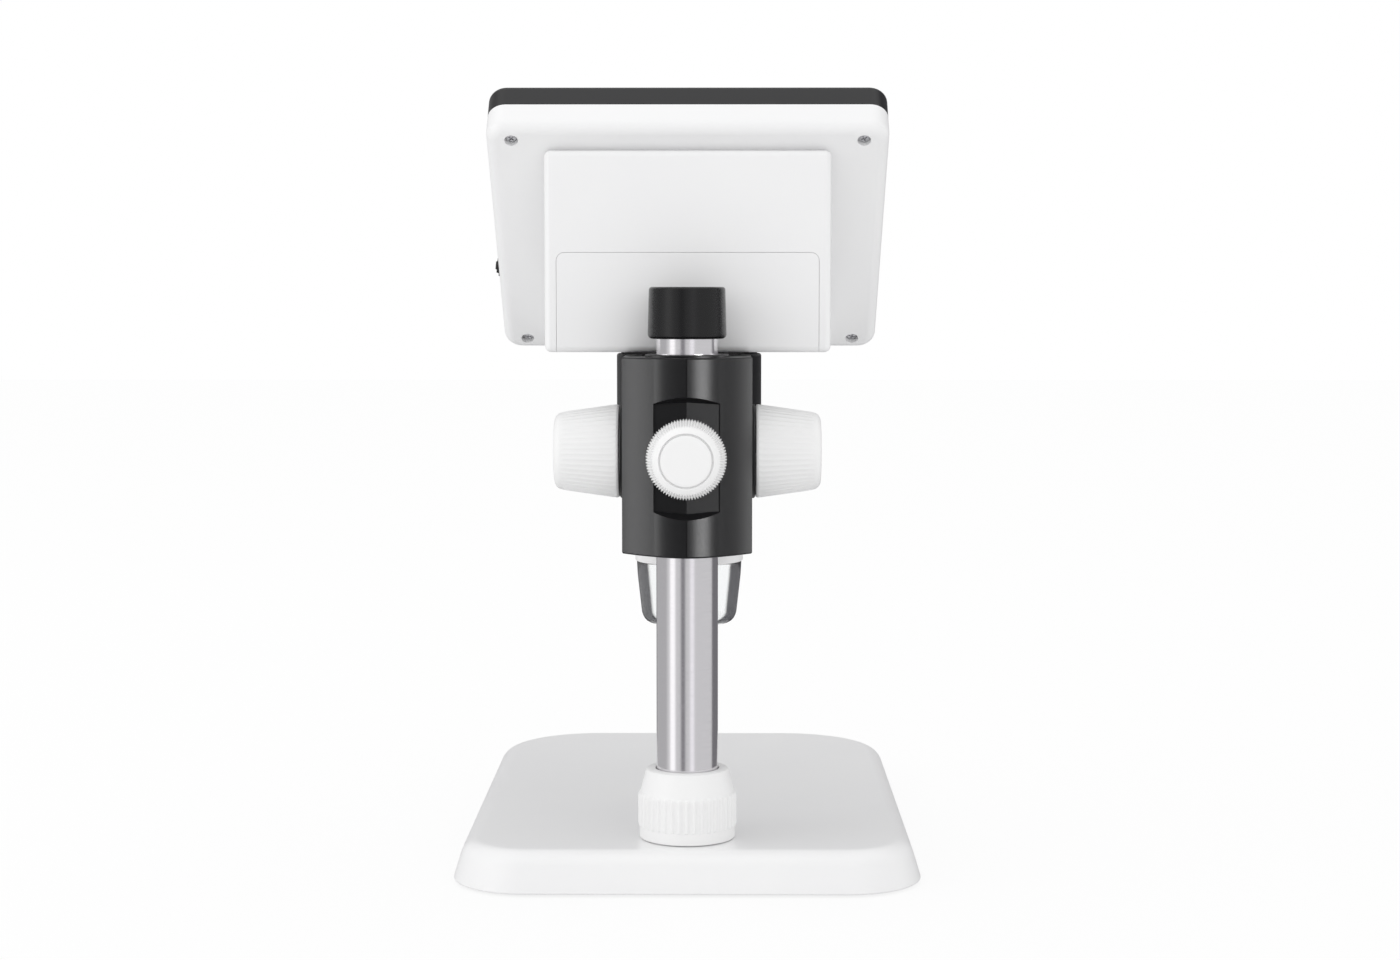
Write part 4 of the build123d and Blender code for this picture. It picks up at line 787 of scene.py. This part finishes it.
# ---------------------------------------------------------------------------
# Focus knobs: two tapered white knobs on the pinion's shaft, moulded with
# fine grip ribs that stop short of the rounded end. A screw holds each one.
knob_radius = 14.8 * mm
knob_end_radius = 11.9 * mm
knob_length = 20.4 * mm
knob_ribs = 48
knob_rib = 0.16 * mm
knob_recess = 5 * mm
knob_bore, knob_bore_depth = 2.55 * mm, 12.9 * mm
knob_screw_hole = 1.4 * mm
knob_slope = (knob_radius - knob_end_radius) / knob_length
knob_nose = round_corners(
    [(knob_radius - knob_rib, 0), (knob_end_radius - knob_rib, knob_length), (knob_recess, knob_length)],
    [0, 2.6 * mm, 0], steps=8,
)
nose_start = knob_nose[1].y
knob_outline = [
    (knob_bore, 0),
    (knob_radius - 0.7 * mm, 0),
    (knob_radius - 0.35 * mm, 0.25 * mm),
    (knob_radius - knob_rib, 0.8 * mm, 0.0),
]
for share, proud in ((0.08, 0.8), (0.12, 1.0), (0.9, 1.0), (0.95, 0.8), (0.98, 0.4)):
    level = nose_start * share
    knob_outline.append((knob_radius - knob_rib - knob_slope * level, level, knob_rib * proud))
knob_outline += [tuple(point) for point in knob_nose[1:-1]]
knob_outline += [
    (knob_recess + 0.3 * mm, knob_length),
    (knob_recess, knob_length - 0.3 * mm),
    (knob_recess, knob_length - 3 * mm),
    (knob_screw_hole, knob_length - 3 * mm),
    (knob_screw_hole, knob_bore_depth),
    (knob_bore, knob_bore_depth),
]
for side, hand in ((-1, "left"), (1, "right")):
    near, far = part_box(f"focus_knob_{hand}")
    knob_start = near.x if side > 0 else far.x
    knob = turned(
        knob_outline, (knob_start, pinion_y, pinion_z), (side, 0, 0),
        steps=knob_ribs * 10, ribs=knob_ribs, hollow=True,
    )
    piece(f"knob_{hand}", knob, matt_white_abs, "pinion", "white_knob", f"focus_knob_{hand}")

# ---------------------------------------------------------------------------
# Lock knob: a white disc knob that pinches the column. Its rim is knurled, its
# shoulder slopes in, and a fine groove rings the flat middle of its face.
lock_low, lock_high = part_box("lock_knob")
lock_face = lock_high.y - lock_low.y
lock_radius = 11.53 * mm
lock_disc = 7.7 * mm
lock_rib = 0.6 * mm
lock_ribs = 84
skirt = 5.6 * mm
lock_bore, lock_bore_depth = 2.53 * mm, 14 * mm
lock_outline = [
    (0, lock_bore_depth),
    (lock_bore, lock_bore_depth),
    (lock_bore, 0),
    (4.7 * mm, 0),
    (5.0 * mm, 0.3 * mm),
    (5.0 * mm, skirt),
    (lock_radius - 0.8 * mm, skirt),
    (lock_radius, skirt + 0.8 * mm),
    (lock_radius, skirt + 1.4 * mm, 0.0),
    (lock_radius, skirt + 1.6 * mm, lock_rib),
    (lock_radius, skirt + 5.2 * mm, lock_rib),
    (lock_radius - 0.1 * mm, skirt + 5.9 * mm, lock_rib),
    (10.3 * mm, lock_face - 2.4 * mm, lock_rib * 0.9),
    (10.0 * mm, lock_face - 1.9 * mm, 0.0),
    (9.7 * mm, lock_face - 1.5 * mm),
    (8.9 * mm, lock_face - 0.6 * mm),
    (lock_disc + 0.6 * mm, lock_face - 0.3 * mm),
    (lock_disc + 0.45 * mm, lock_face - 0.4 * mm),
    (lock_disc + 0.35 * mm, lock_face - 1.0 * mm),
    (lock_disc, lock_face - 1.0 * mm),
    (lock_disc - 0.12 * mm, lock_face - 0.2 * mm),
    (lock_disc - 0.5 * mm, lock_face - 0.05 * mm),
    (lock_disc - 1.2 * mm, lock_face),
    (0, lock_face),
]
lock_mesh = turned(
    lock_outline, (0, lock_low.y, pinion_z), (0, 1, 0), steps=lock_ribs * 6, ribs=lock_ribs,
)
piece("lock_grip", lock_mesh, matt_white_abs, "lock", "white_knob", "lock_knob", crease=50)

# ---------------------------------------------------------------------------
# Head: a white case tilted at forty-five degrees. A flat tray with rolled
# back edges carries a square box for the battery and the barrel's flange.
glass_low, glass_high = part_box("screen_glass")
lean = math.radians(45)
up_slope = Vector((0, math.sin(lean), math.cos(lean)))
outward = Vector((0, -math.cos(lean), math.sin(lean)))
screen_u = 9.5 * mm
head_front = 20.2 * mm
glass_thickness = 1.1 * mm
glass_middle = (glass_low + glass_high) / 2
slab_middle = glass_middle - up_slope * screen_u - outward * (head_front - glass_thickness / 2)
slab = Matrix((
    (1, 0, 0, slab_middle.x),
    (0, up_slope.y, outward.y, slab_middle.y),
    (0, up_slope.z, outward.z, slab_middle.z),
    (0, 0, 0, 1),
))
head_size = (126 * mm, 100 * mm)
head_corners = [6 * mm] * 4
shell_top = 10.7 * mm
wall = 2.2 * mm
back_roll = 3.5 * mm
cover_low, cover_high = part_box("battery_cover")
box_half = 44.8 * mm
box_rear = cover_high.y
box_low = cover_low.z
box_high = box_low + 62.8 * mm
box_roll = 2 * mm


def slab_side(height, depth):
    """Side-view point of the slab at a height and at a depth in front of its back."""
    along = (height - slab_middle.z - depth * outward.z) / up_slope.z
    point = slab_middle + up_slope * along + outward * depth
    return (point.y, point.z)


pan_section = round_corners(
    [(20 * mm, 0), (0, 0), (0, shell_top), (wall, shell_top), (wall, wall), (20 * mm, wall)],
    [0, back_roll, 0.15 * mm, 0, 0.6 * mm, 0], steps=8,
)
case = moulding(head_size, head_corners, pan_section, slab, steps=10)
box_outer = side_prism(
    [
        (box_rear, box_low), (box_rear, box_high), slab_side(box_high, shell_top / 2),
        slab_side(box_low + shell_top / 2, shell_top / 2), slab_side(box_low, 0),
    ],
    box_half,
)
box_inner = side_prism(
    [
        (box_rear - 2 * wall, box_low + wall), (box_rear - 2 * wall, box_high - wall),
        slab_side(box_high - wall, 2 * wall), slab_side(box_low + 3 * wall, 2 * wall),
        slab_side(box_low + wall, wall),
    ],
    box_half - wall,
)
case = cut(case, ease(box_outer, box_roll, steps=5), operation="UNION")
barrel_hole = drill(18.65 * mm, -1 * mm, 3 * mm, (0, barrel_y, box_low), steps=96)
rear_wall = Matrix(((1, 0, 0, 0), (0, 0, -1, box_rear), (0, 1, 0, 0), (0, 0, 0, 1)))
cover_seam = 0.08 * mm
cover_size = cover_high - cover_low
cover_depth = 2 * mm
recess_rise = cover_size.z + 5 * mm
cover_recess = moulding(
    (cover_size.x + 2 * cover_seam, recess_rise),
    [0.1 * mm, 2.65 * mm, 2.65 * mm, 0.1 * mm],
    [(0, -3 * mm), (0, cover_depth + cover_seam)],
    rear_wall @ Matrix.Translation((0, cover_high.z + cover_seam - recess_rise / 2, 0)),
)
wheel_spot = (57.7 * mm, -14.9 * mm)
wheel_slot = drill(6.8 * mm, 2.9 * mm, 5.9 * mm, slab @ Vector((*wheel_spot, 0)), outward, steps=64)
case_tools = [box_inner, barrel_hole, cover_recess, wheel_slot]
port_play = 0.4 * mm
usb_mouth = (14 * mm, 7.5 * mm, 2.6 * mm)
card_mouth = (-8 * mm, 12 * mm, 1.9 * mm)
for middle_u, width, depth in (usb_mouth, card_mouth):
    mouth = moulding(
        (6 * mm, width + 2 * port_play), [0.1 * mm] * 4, [(0, 0), (0, depth + 2 * port_play)],
        slab @ Matrix.Translation((-head_size[0] / 2, middle_u, 8 * mm - depth - port_play)),
    )
    case_tools.append(mouth)
screw_x, screw_u = 55 * mm, 44.4 * mm
screw_spots = [(x, u) for x in (-screw_x, screw_x) for u in (-screw_u, screw_u)]
well_radius = 2.15 * mm
for spot in screw_spots:
    well = turned(
        [
            (0, -1 * mm), (well_radius, -1 * mm), (well_radius, 2 * mm),
            (1.4 * mm, 2 * mm), (1.4 * mm, 3 * mm), (0, 3 * mm),
        ],
        slab @ Vector((*spot, 0)), outward, steps=40,
    )
    case_tools.append(well)
case = ease(cut(case, *case_tools), 0.12 * mm, steps=2, limit=60)
piece("head_case", case, gloss_white_abs, "head", "white_case", "head_shell")

# ---------------------------------------------------------------------------
# Battery cover: a white lid that clips into the lower half of the box's rear
# face. Only a hairline seam shows round it.
lid = moulding(
    (cover_size.x, cover_size.z),
    [0.3 * mm, 2.5 * mm, 2.5 * mm, 0.3 * mm],
    round_corners(
        [(6 * mm, 0), (0, 0), (0, cover_depth), (6 * mm, cover_depth)],
        [0, 0.15 * mm, 0, 0], steps=3,
    ),
    rear_wall @ Matrix.Translation((0, (cover_low.z + cover_high.z) / 2, 0)),
)
corner_roll = side_prism(
    [
        (box_rear + 1 * mm, box_low - 1 * mm),
        (box_rear + 1 * mm, box_low + box_roll),
        *[
            (box_rear - box_roll + box_roll * math.cos(a), box_low + box_roll - box_roll * math.sin(a))
            for a in [math.radians(15 * step) for step in range(7)]
        ],
        (box_rear - box_roll, box_low - 1 * mm),
    ],
    50 * mm,
)
piece("battery_lid", cut(lid, corner_roll), gloss_white_abs, "head", "white_case", "battery_cover")

# ---------------------------------------------------------------------------
# Case screws: four plated pan-head screws with a cross recess, sunk in wells
# at the corners of the back. They hold the bezel to the case.

# satin nickel: pale where it faces the tent, dark where the well shades it
satin_nickel = plain_grain("satin_nickel", "#D8D8DA", "#CACACD", 0.3 * mm, 0.36, metallic=1.0)
screw_head = turned(
    [
        (0, 0.95 * mm), (0.8 * mm, 1.0 * mm), (1.4 * mm, 1.15 * mm), (1.8 * mm, 1.45 * mm),
        (1.95 * mm, 1.8 * mm), (1.95 * mm, 2 * mm), (1.25 * mm, 2 * mm), (1.25 * mm, 8 * mm), (0, 8 * mm),
    ],
    (0, 0, 0), steps=48,
)
recess = [
    block((-across, -along, 0.5 * mm), (across, along, 1.7 * mm))
    for across, along in ((1.05 * mm, 0.24 * mm), (0.24 * mm, 1.05 * mm))
]
screw_head = cut(screw_head, *recess)
four_screws = bmesh.new()
for spot, turn in zip(screw_spots, (20, 65, 8, 40)):
    screw = screw_head.copy()
    screw.transform(slab @ Matrix.Translation((*spot, 0)) @ Matrix.Rotation(math.radians(turn), 4, "Z"))
    four_screws.from_mesh(screw)
screws_mesh = bpy.data.meshes.new("back_screws")
four_screws.to_mesh(screws_mesh)
four_screws.free()
piece("back_screws", screws_mesh, satin_nickel, "head", "screw_steel", "case_screws")

# ---------------------------------------------------------------------------
# Front bezel: the black front half of the case. It frames the screen above a
# row of seven keys, and its front edge is rolled over.

# finer tool finish than the stand's: the same black with a clearer sheen
bezel_abs = moulded_plastic("bezel_abs", "#1B1B1C", "#18181A", 0.5 * mm, 0.34, 0.04, 0.004 * mm, shine=0.34)
bezel_inner = 18 * mm
bezel_section = round_corners(
    [
        (20 * mm, bezel_inner), (wall, bezel_inner), (wall, shell_top),
        (0, shell_top), (0, head_front), (20 * mm, head_front),
    ],
    [0, 0.6 * mm, 0, 0.15 * mm, 2.5 * mm, 0], steps=8,
)
bezel = moulding(head_size, head_corners, bezel_section, steps=10)
on_screen = Matrix.Translation((0, screen_u, 0))
glass_seat = moulding(
    (106.3 * mm, 68.3 * mm), [2.15 * mm] * 4,
    [
        (0, head_front - glass_thickness), (0, head_front - 0.2 * mm),
        (-0.25 * mm, head_front + 0.05 * mm), (-0.25 * mm, head_front + 1 * mm),
    ],
    on_screen,
)
window = moulding((97 * mm, 56 * mm), [0.3 * mm] * 4, [(0, 17 * mm), (0, 20 * mm)], on_screen)
bezel_tools = [glass_seat, window]
key_pitch = 13.6 * mm
key_row = -35.5 * mm
key_spots = [(key_pitch * (k - 4), key_row) for k in range(1, 8)]
for spot in key_spots:
    key_hole = moulding(
        (10 * mm, 6 * mm), [3 * mm] * 4,
        [
            (0, 17 * mm), (0, head_front - 0.3 * mm),
            (-0.3 * mm, head_front + 0.01 * mm), (-0.3 * mm, head_front + 1 * mm),
        ],
        Matrix.Translation((*spot, 0)), steps=10,
    )
    bezel_tools.append(key_hole)
bezel = cut(bezel, *bezel_tools)
bezel.transform(slab)
piece("bezel", bezel, bezel_abs, "head", "black_case", "front_bezel")

# ---------------------------------------------------------------------------
# Screen: clear toughened glass over an unlit LCD panel, with a black border
# printed round the picture area.
def clear_stuff(name, colour, ior, haze, edge=None):
    """Clear glass or plastic with a trace of haze. Its edge colour is painted shade, laid on where one looks
    along the wall.
    """
    material, tree = blank_material(name)
    place = add(tree, "ShaderNodeTexCoord").outputs["Object"]
    swirl = add(tree, "ShaderNodeTexNoise", inputs={"Vector": place, "Scale": 1 / (12 * mm), "Detail": 2.0})
    gloss = add(tree, "ShaderNodeMapRange", inputs={
        "Value": swirl.outputs["Fac"], "From Min": 0.3, "From Max": 0.7, "To Min": 0.0, "To Max": haze,
    })
    shader = add(tree, "ShaderNodeBsdfPrincipled", inputs={
        "Base Color": srgb(colour), "Roughness": gloss.outputs[0], "IOR": ior, "Transmission Weight": 1.0,
    })
    if edge:
        # painted shade: towards a grazing view the base colour turns to the dark edge colour
        slant = add(tree, "ShaderNodeLayerWeight", inputs={"Blend": 0.5})
        depth = add(tree, "ShaderNodeMapRange", {"interpolation_type": "SMOOTHSTEP"}, {
            "Value": slant.outputs["Facing"], "From Min": 0.33, "From Max": 0.42,
            "To Min": 0.0, "To Max": 1.0,
        })
        tint = add(tree, "ShaderNodeMix", {"data_type": "RGBA"}, {
            0: depth.outputs[0], 6: srgb(colour), 7: srgb(edge),
        })
        tree.links.new(tint.outputs[2], shader.inputs["Base Color"])
    add(tree, "ShaderNodeOutputMaterial", inputs={"Surface": shader.outputs[0]})
    return material


def let_lamps_through(made):
    """Clear pieces throw no shadow: the lamps light what lies behind them."""
    made.visible_shadow = False
    made.visible_diffuse = False


# toughened float glass: clear, faintly green, with a sharp reflection
cover_glass = clear_stuff("cover_glass", "#F2F5F5", 1.51, 0.004)
glass_mesh = moulding(
    (106 * mm, 68 * mm), [2 * mm] * 4,
    round_corners(
        [
            (10 * mm, head_front - glass_thickness), (0, head_front - glass_thickness),
            (0, head_front), (10 * mm, head_front),
        ],
        [0, 0.1 * mm, 0.2 * mm, 0], steps=3,
    ),
    slab @ on_screen,
)
let_lamps_through(piece("cover_glass", glass_mesh, cover_glass, "head", "screen_glass", "screen_glass"))

# screen-printed ink: a flat deep black under the glass
border_ink = plain_grain("border_ink", "#060607", "#080809", 0.5 * mm, 0.5, shine=0.1)
border = moulding(
    (105.4 * mm, 67.4 * mm), [1.7 * mm] * 4, [(0, 19.13 * mm), (0, 19.18 * mm)], on_screen,
)
picture = moulding((95 * mm, 53.8 * mm), [0.3 * mm] * 4, [(0, 18 * mm), (0, 20 * mm)], on_screen)
border = cut(border, picture)
border.transform(slab)
piece("screen_border", border, border_ink, "head", "lcd_black")

# unlit LCD: deep blue-black under faint upright lines. Its pixels are 0.11 mm wide, and are drawn
# at 0.9 mm so that they show.
dark_panel, tree = blank_material("dark_panel")
place = add(tree, "ShaderNodeTexCoord").outputs["Object"]
line_pitch = 0.9 * mm
lines = add(tree, "ShaderNodeTexWave", {"bands_direction": "X"}, {
    "Vector": place, "Scale": math.pi / (10 * line_pitch),
})
gloss = add(tree, "ShaderNodeMapRange", inputs={
    "Value": lines.outputs["Fac"], "To Min": 0.20, "To Max": 0.22,
})
tint = add(tree, "ShaderNodeMix", {"data_type": "RGBA"}, {
    0: lines.outputs["Fac"], 6: srgb("#0A0C11"), 7: srgb("#0B0E13"),
})
shader = add(tree, "ShaderNodeBsdfPrincipled", inputs={
    "Base Color": tint.outputs[2], "Roughness": gloss.outputs[0], "Specular IOR Level": 0.15,
})
add(tree, "ShaderNodeOutputMaterial", inputs={"Surface": shader.outputs[0]})
dress(dark_panel, "lcd_panel")

# ---------------------------------------------------------------------------
# Keys: seven pale grey moulded caps with a soft crown. Each stands on a
# flange behind the bezel and presses a switch.

# satin grey ABS: a pale cool grey with a soft spot of light on each crown
grey_abs = moulded_plastic("grey_abs", "#C3C4C8", "#BDBEC2", 0.4 * mm, 0.38, 0.05, 0.005 * mm)
key_section = [
    (2 * mm, 16.8 * mm), (-0.8 * mm, 16.8 * mm), (-0.8 * mm, 17.8 * mm), (0, 17.8 * mm), (0, 20.45 * mm),
    (0.08 * mm, 20.65 * mm), (0.25 * mm, 20.8 * mm), (0.5 * mm, 20.88 * mm), (1.3 * mm, 20.97 * mm),
    (2.4 * mm, 21.0 * mm),
]
for k, spot in enumerate(key_spots, start=1):
    key = moulding(
        (9.5 * mm, 5.5 * mm), [2.75 * mm] * 4, key_section,
        slab @ Matrix.Translation((*spot, 0)), steps=10,
    )
    piece(f"key_cap_{k}", key, grey_abs, f"key_{k}", "key_grey", f"button_{k}")

# ---------------------------------------------------------------------------
# Dimmer wheel: a black thumbwheel with coarse teeth, on the light dimmer's
# shaft. A sliver of it stands out of the case's side.
wheel_teeth = 24
wheel = turned(
    [
        (0, 3.2 * mm), (5.4 * mm, 3.2 * mm), (5.7 * mm, 3.3 * mm, 0.0), (6.0 * mm, 3.6 * mm, 0.5 * mm),
        (6.0 * mm, 5.2 * mm, 0.5 * mm), (5.7 * mm, 5.5 * mm, 0.0), (5.4 * mm, 5.6 * mm),
        (1.5 * mm, 5.6 * mm), (1.5 * mm, 7.6 * mm), (0, 7.6 * mm),
    ],
    slab @ Vector((*wheel_spot, 0)), outward, steps=wheel_teeth * 8, ribs=wheel_teeth,
)
piece("dimmer_thumbwheel", wheel, black_satin, "dimmer", "wheel_black", "dimmer_wheel")

# ---------------------------------------------------------------------------
# Light shield: a clear polycarbonate skirt pushed on the barrel's neck under
# a white lip. It guards the lens and its ring of lights.

# polished clear plastic: water-clear face on, with painted shade where one looks along the outer wall
polycarbonate = clear_stuff("polycarbonate", "#FCFDFD", 1.585, 0.01, edge="#222224")
# the same on the bore and the foot, without the painted dark edge
clear_bore = clear_stuff("clear_bore", "#FCFDFD", 1.585, 0.01)
shield_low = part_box("clear_shield")[0]
foot_lift = 1.2 * mm
shield_outline = [
    (14.4 * mm, 22.7 * mm),
    (16.4 * mm, 22.7 * mm),
    (16.4 * mm, 21.9 * mm),
    (17.2 * mm, 21.7 * mm),
    (17.4 * mm, 21.4 * mm),
    (17.15 * mm, 17 * mm),
    (15.85 * mm, foot_lift + 4.2 * mm),
    (15.7 * mm, foot_lift + 3.2 * mm),
    (15.35 * mm, foot_lift + 2.2 * mm),
    (14.85 * mm, foot_lift + 1.3 * mm),
    (14.2 * mm, foot_lift + 0.6 * mm),
    (13.4 * mm, foot_lift + 0.15 * mm),
    (12.7 * mm, foot_lift),
    (11.4 * mm, foot_lift),
    (11.1 * mm, foot_lift + 0.3 * mm),
    (11.8 * mm, foot_lift + 0.9 * mm),
    (12.3 * mm, foot_lift + 2.2 * mm),
    (12.6 * mm, foot_lift + 4.2 * mm),
    (13.6 * mm, 17 * mm),
]
skirt_mesh = turned(
    shield_outline, (0, barrel_y, shield_low.z), steps=128, hollow=True,
)
shield = piece("light_shield", skirt_mesh, polycarbonate, "head", "clear_plastic", "clear_shield", crease=40)
let_lamps_through(shield)
skirt_mesh.materials.append(clear_bore)
underside = -0.7
for face in skirt_mesh.polygons:
    inward = face.normal.to_2d().dot((face.center - Vector((0, barrel_y, 0))).to_2d()) < 0
    if inward or face.normal.z < underside:
        face.material_index = 1

lip_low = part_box("shield_lip")[0]
lip_bore, lip_radius = 16.43 * mm, 17.9 * mm
lip_foot, lip_top = 2.1 * mm, 8 * mm
lip_outline = round_corners(
    [(lip_bore, lip_foot), (lip_radius, lip_foot), (lip_radius, lip_top), (lip_bore, lip_top)],
    [0, 0.5 * mm, 0.5 * mm, 0],
)
lip_mesh = turned(
    [tuple(point) for point in lip_outline], (0, barrel_y, lip_low.z), steps=128, hollow=True,
)
piece("barrel_lip", lip_mesh, gloss_white_abs, "head", "white_case", "shield_lip")

# ---------------------------------------------------------------------------
# Focus ring: a ribbed black ring on the barrel's neck that runs the lens up
# and down.
focus_low, focus_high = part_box("focus_ring")
focus_rise = focus_high.z - focus_low.z
focus_bore, focus_radius = 16.45 * mm, 17.8 * mm
focus_rib = 0.35 * mm
focus_ribs = 36
focus_mesh = turned(
    [
        (focus_bore, 0), (17.5 * mm, 0), (focus_radius, 0.3 * mm), (focus_radius, 1.6 * mm, 0.0),
        (focus_radius, 1.9 * mm, focus_rib), (focus_radius, focus_rise - 1.9 * mm, focus_rib),
        (focus_radius, focus_rise - 1.6 * mm, 0.0), (focus_radius, focus_rise - 0.3 * mm),
        (17.5 * mm, focus_rise), (focus_bore, focus_rise),
    ],
    (0, barrel_y, focus_low.z), steps=focus_ribs * 10, ribs=focus_ribs, hollow=True,
)
dark_mouldings.objects.link(
    piece("focus_grip", focus_mesh, black_abs, "focus_collar", "black_case", "focus_ring")
)

# ---------------------------------------------------------------------------
# Barrel and optics: an anodised tube with the lens cell, its glass, the ring
# of lights and the camera's sensor board inside.

# black anodised aluminium: dark satin metal with a fine turned grain
black_anodised = plain_grain("black_anodised", "#1B1B1D", "#232326", 0.25 * mm, 0.38, metallic=0.6)
dress(black_anodised, "barrel_tube", "lens_cell")
# coated crown glass: clear with a cool blue cast
coated_glass = clear_stuff("coated_glass", "#DDE6F5", 1.52, 0.006)
dress(coated_glass, "lens_elements")
# cast resin over the chips: glossy and creamy white
led_resin = plain_grain("led_resin", "#F5F2E2", "#FBF9EE", 0.4 * mm, 0.18)
dress(led_resin, "leds")
# fired ceramic and moulded epoxy: smooth and nearly black
sensor_ceramic = plain_grain("sensor_ceramic", "#141518", "#1B1C20", 0.3 * mm, 0.25)
dress(sensor_ceramic, "image_sensor", "dimmer_pot")

# ---------------------------------------------------------------------------
# Electronics and battery: green boards on the case's bosses, tinned sockets
# and shields, an amber ribbon, and a sleeved cell between nickel contacts.

# solder mask: glossy green lacquer, darker between its copper tracks
solder_mask, tree = blank_material("solder_mask")
place = add(tree, "ShaderNodeTexCoord").outputs["Object"]
tracks = add(tree, "ShaderNodeTexBrick", inputs={
    "Vector": place, "Scale": 1 / (3 * mm), "Mortar Size": 0.06,
    "Color1": srgb("#14593A"), "Color2": srgb("#17623F"), "Mortar": srgb("#0E4029"),
})
shader = add(tree, "ShaderNodeBsdfPrincipled", inputs={
    "Base Color": tracks.outputs["Color"], "Roughness": 0.3,
})
add(tree, "ShaderNodeOutputMaterial", inputs={"Surface": shader.outputs[0]})
dress(solder_mask, "main_board", "button_board", "sensor_board", "led_board")
# hot-dipped tin: a bright, slightly clouded grey
tinned_steel = plain_grain("tinned_steel", "#BFC0C3", "#ABACB0", 0.5 * mm, 0.28, metallic=1.0)
dress(tinned_steel, "usb_socket", "card_socket", "button_switches", "lcd_frame")
# polyimide film: glossy amber with a slow drift in tone
amber_film = plain_grain("amber_film", "#B0701C", "#C07C22", 1.2 * mm, 0.3)
dress(amber_film, "sensor_ribbon")
# heat-shrunk sleeve: smooth glossy blue
shrink_sleeve = plain_grain("shrink_sleeve", "#2A4E86", "#31578F", 2.0 * mm, 0.3)
dress(shrink_sleeve, "battery_cell")
# nickel plate: a warm bright metal
nickel_plate = plain_grain("nickel_plate", "#C9C5BB", "#BBB7AC", 0.4 * mm, 0.2, metallic=1.0)
dress(nickel_plate, "battery_contacts")
dress(black_abs, "battery_tray")
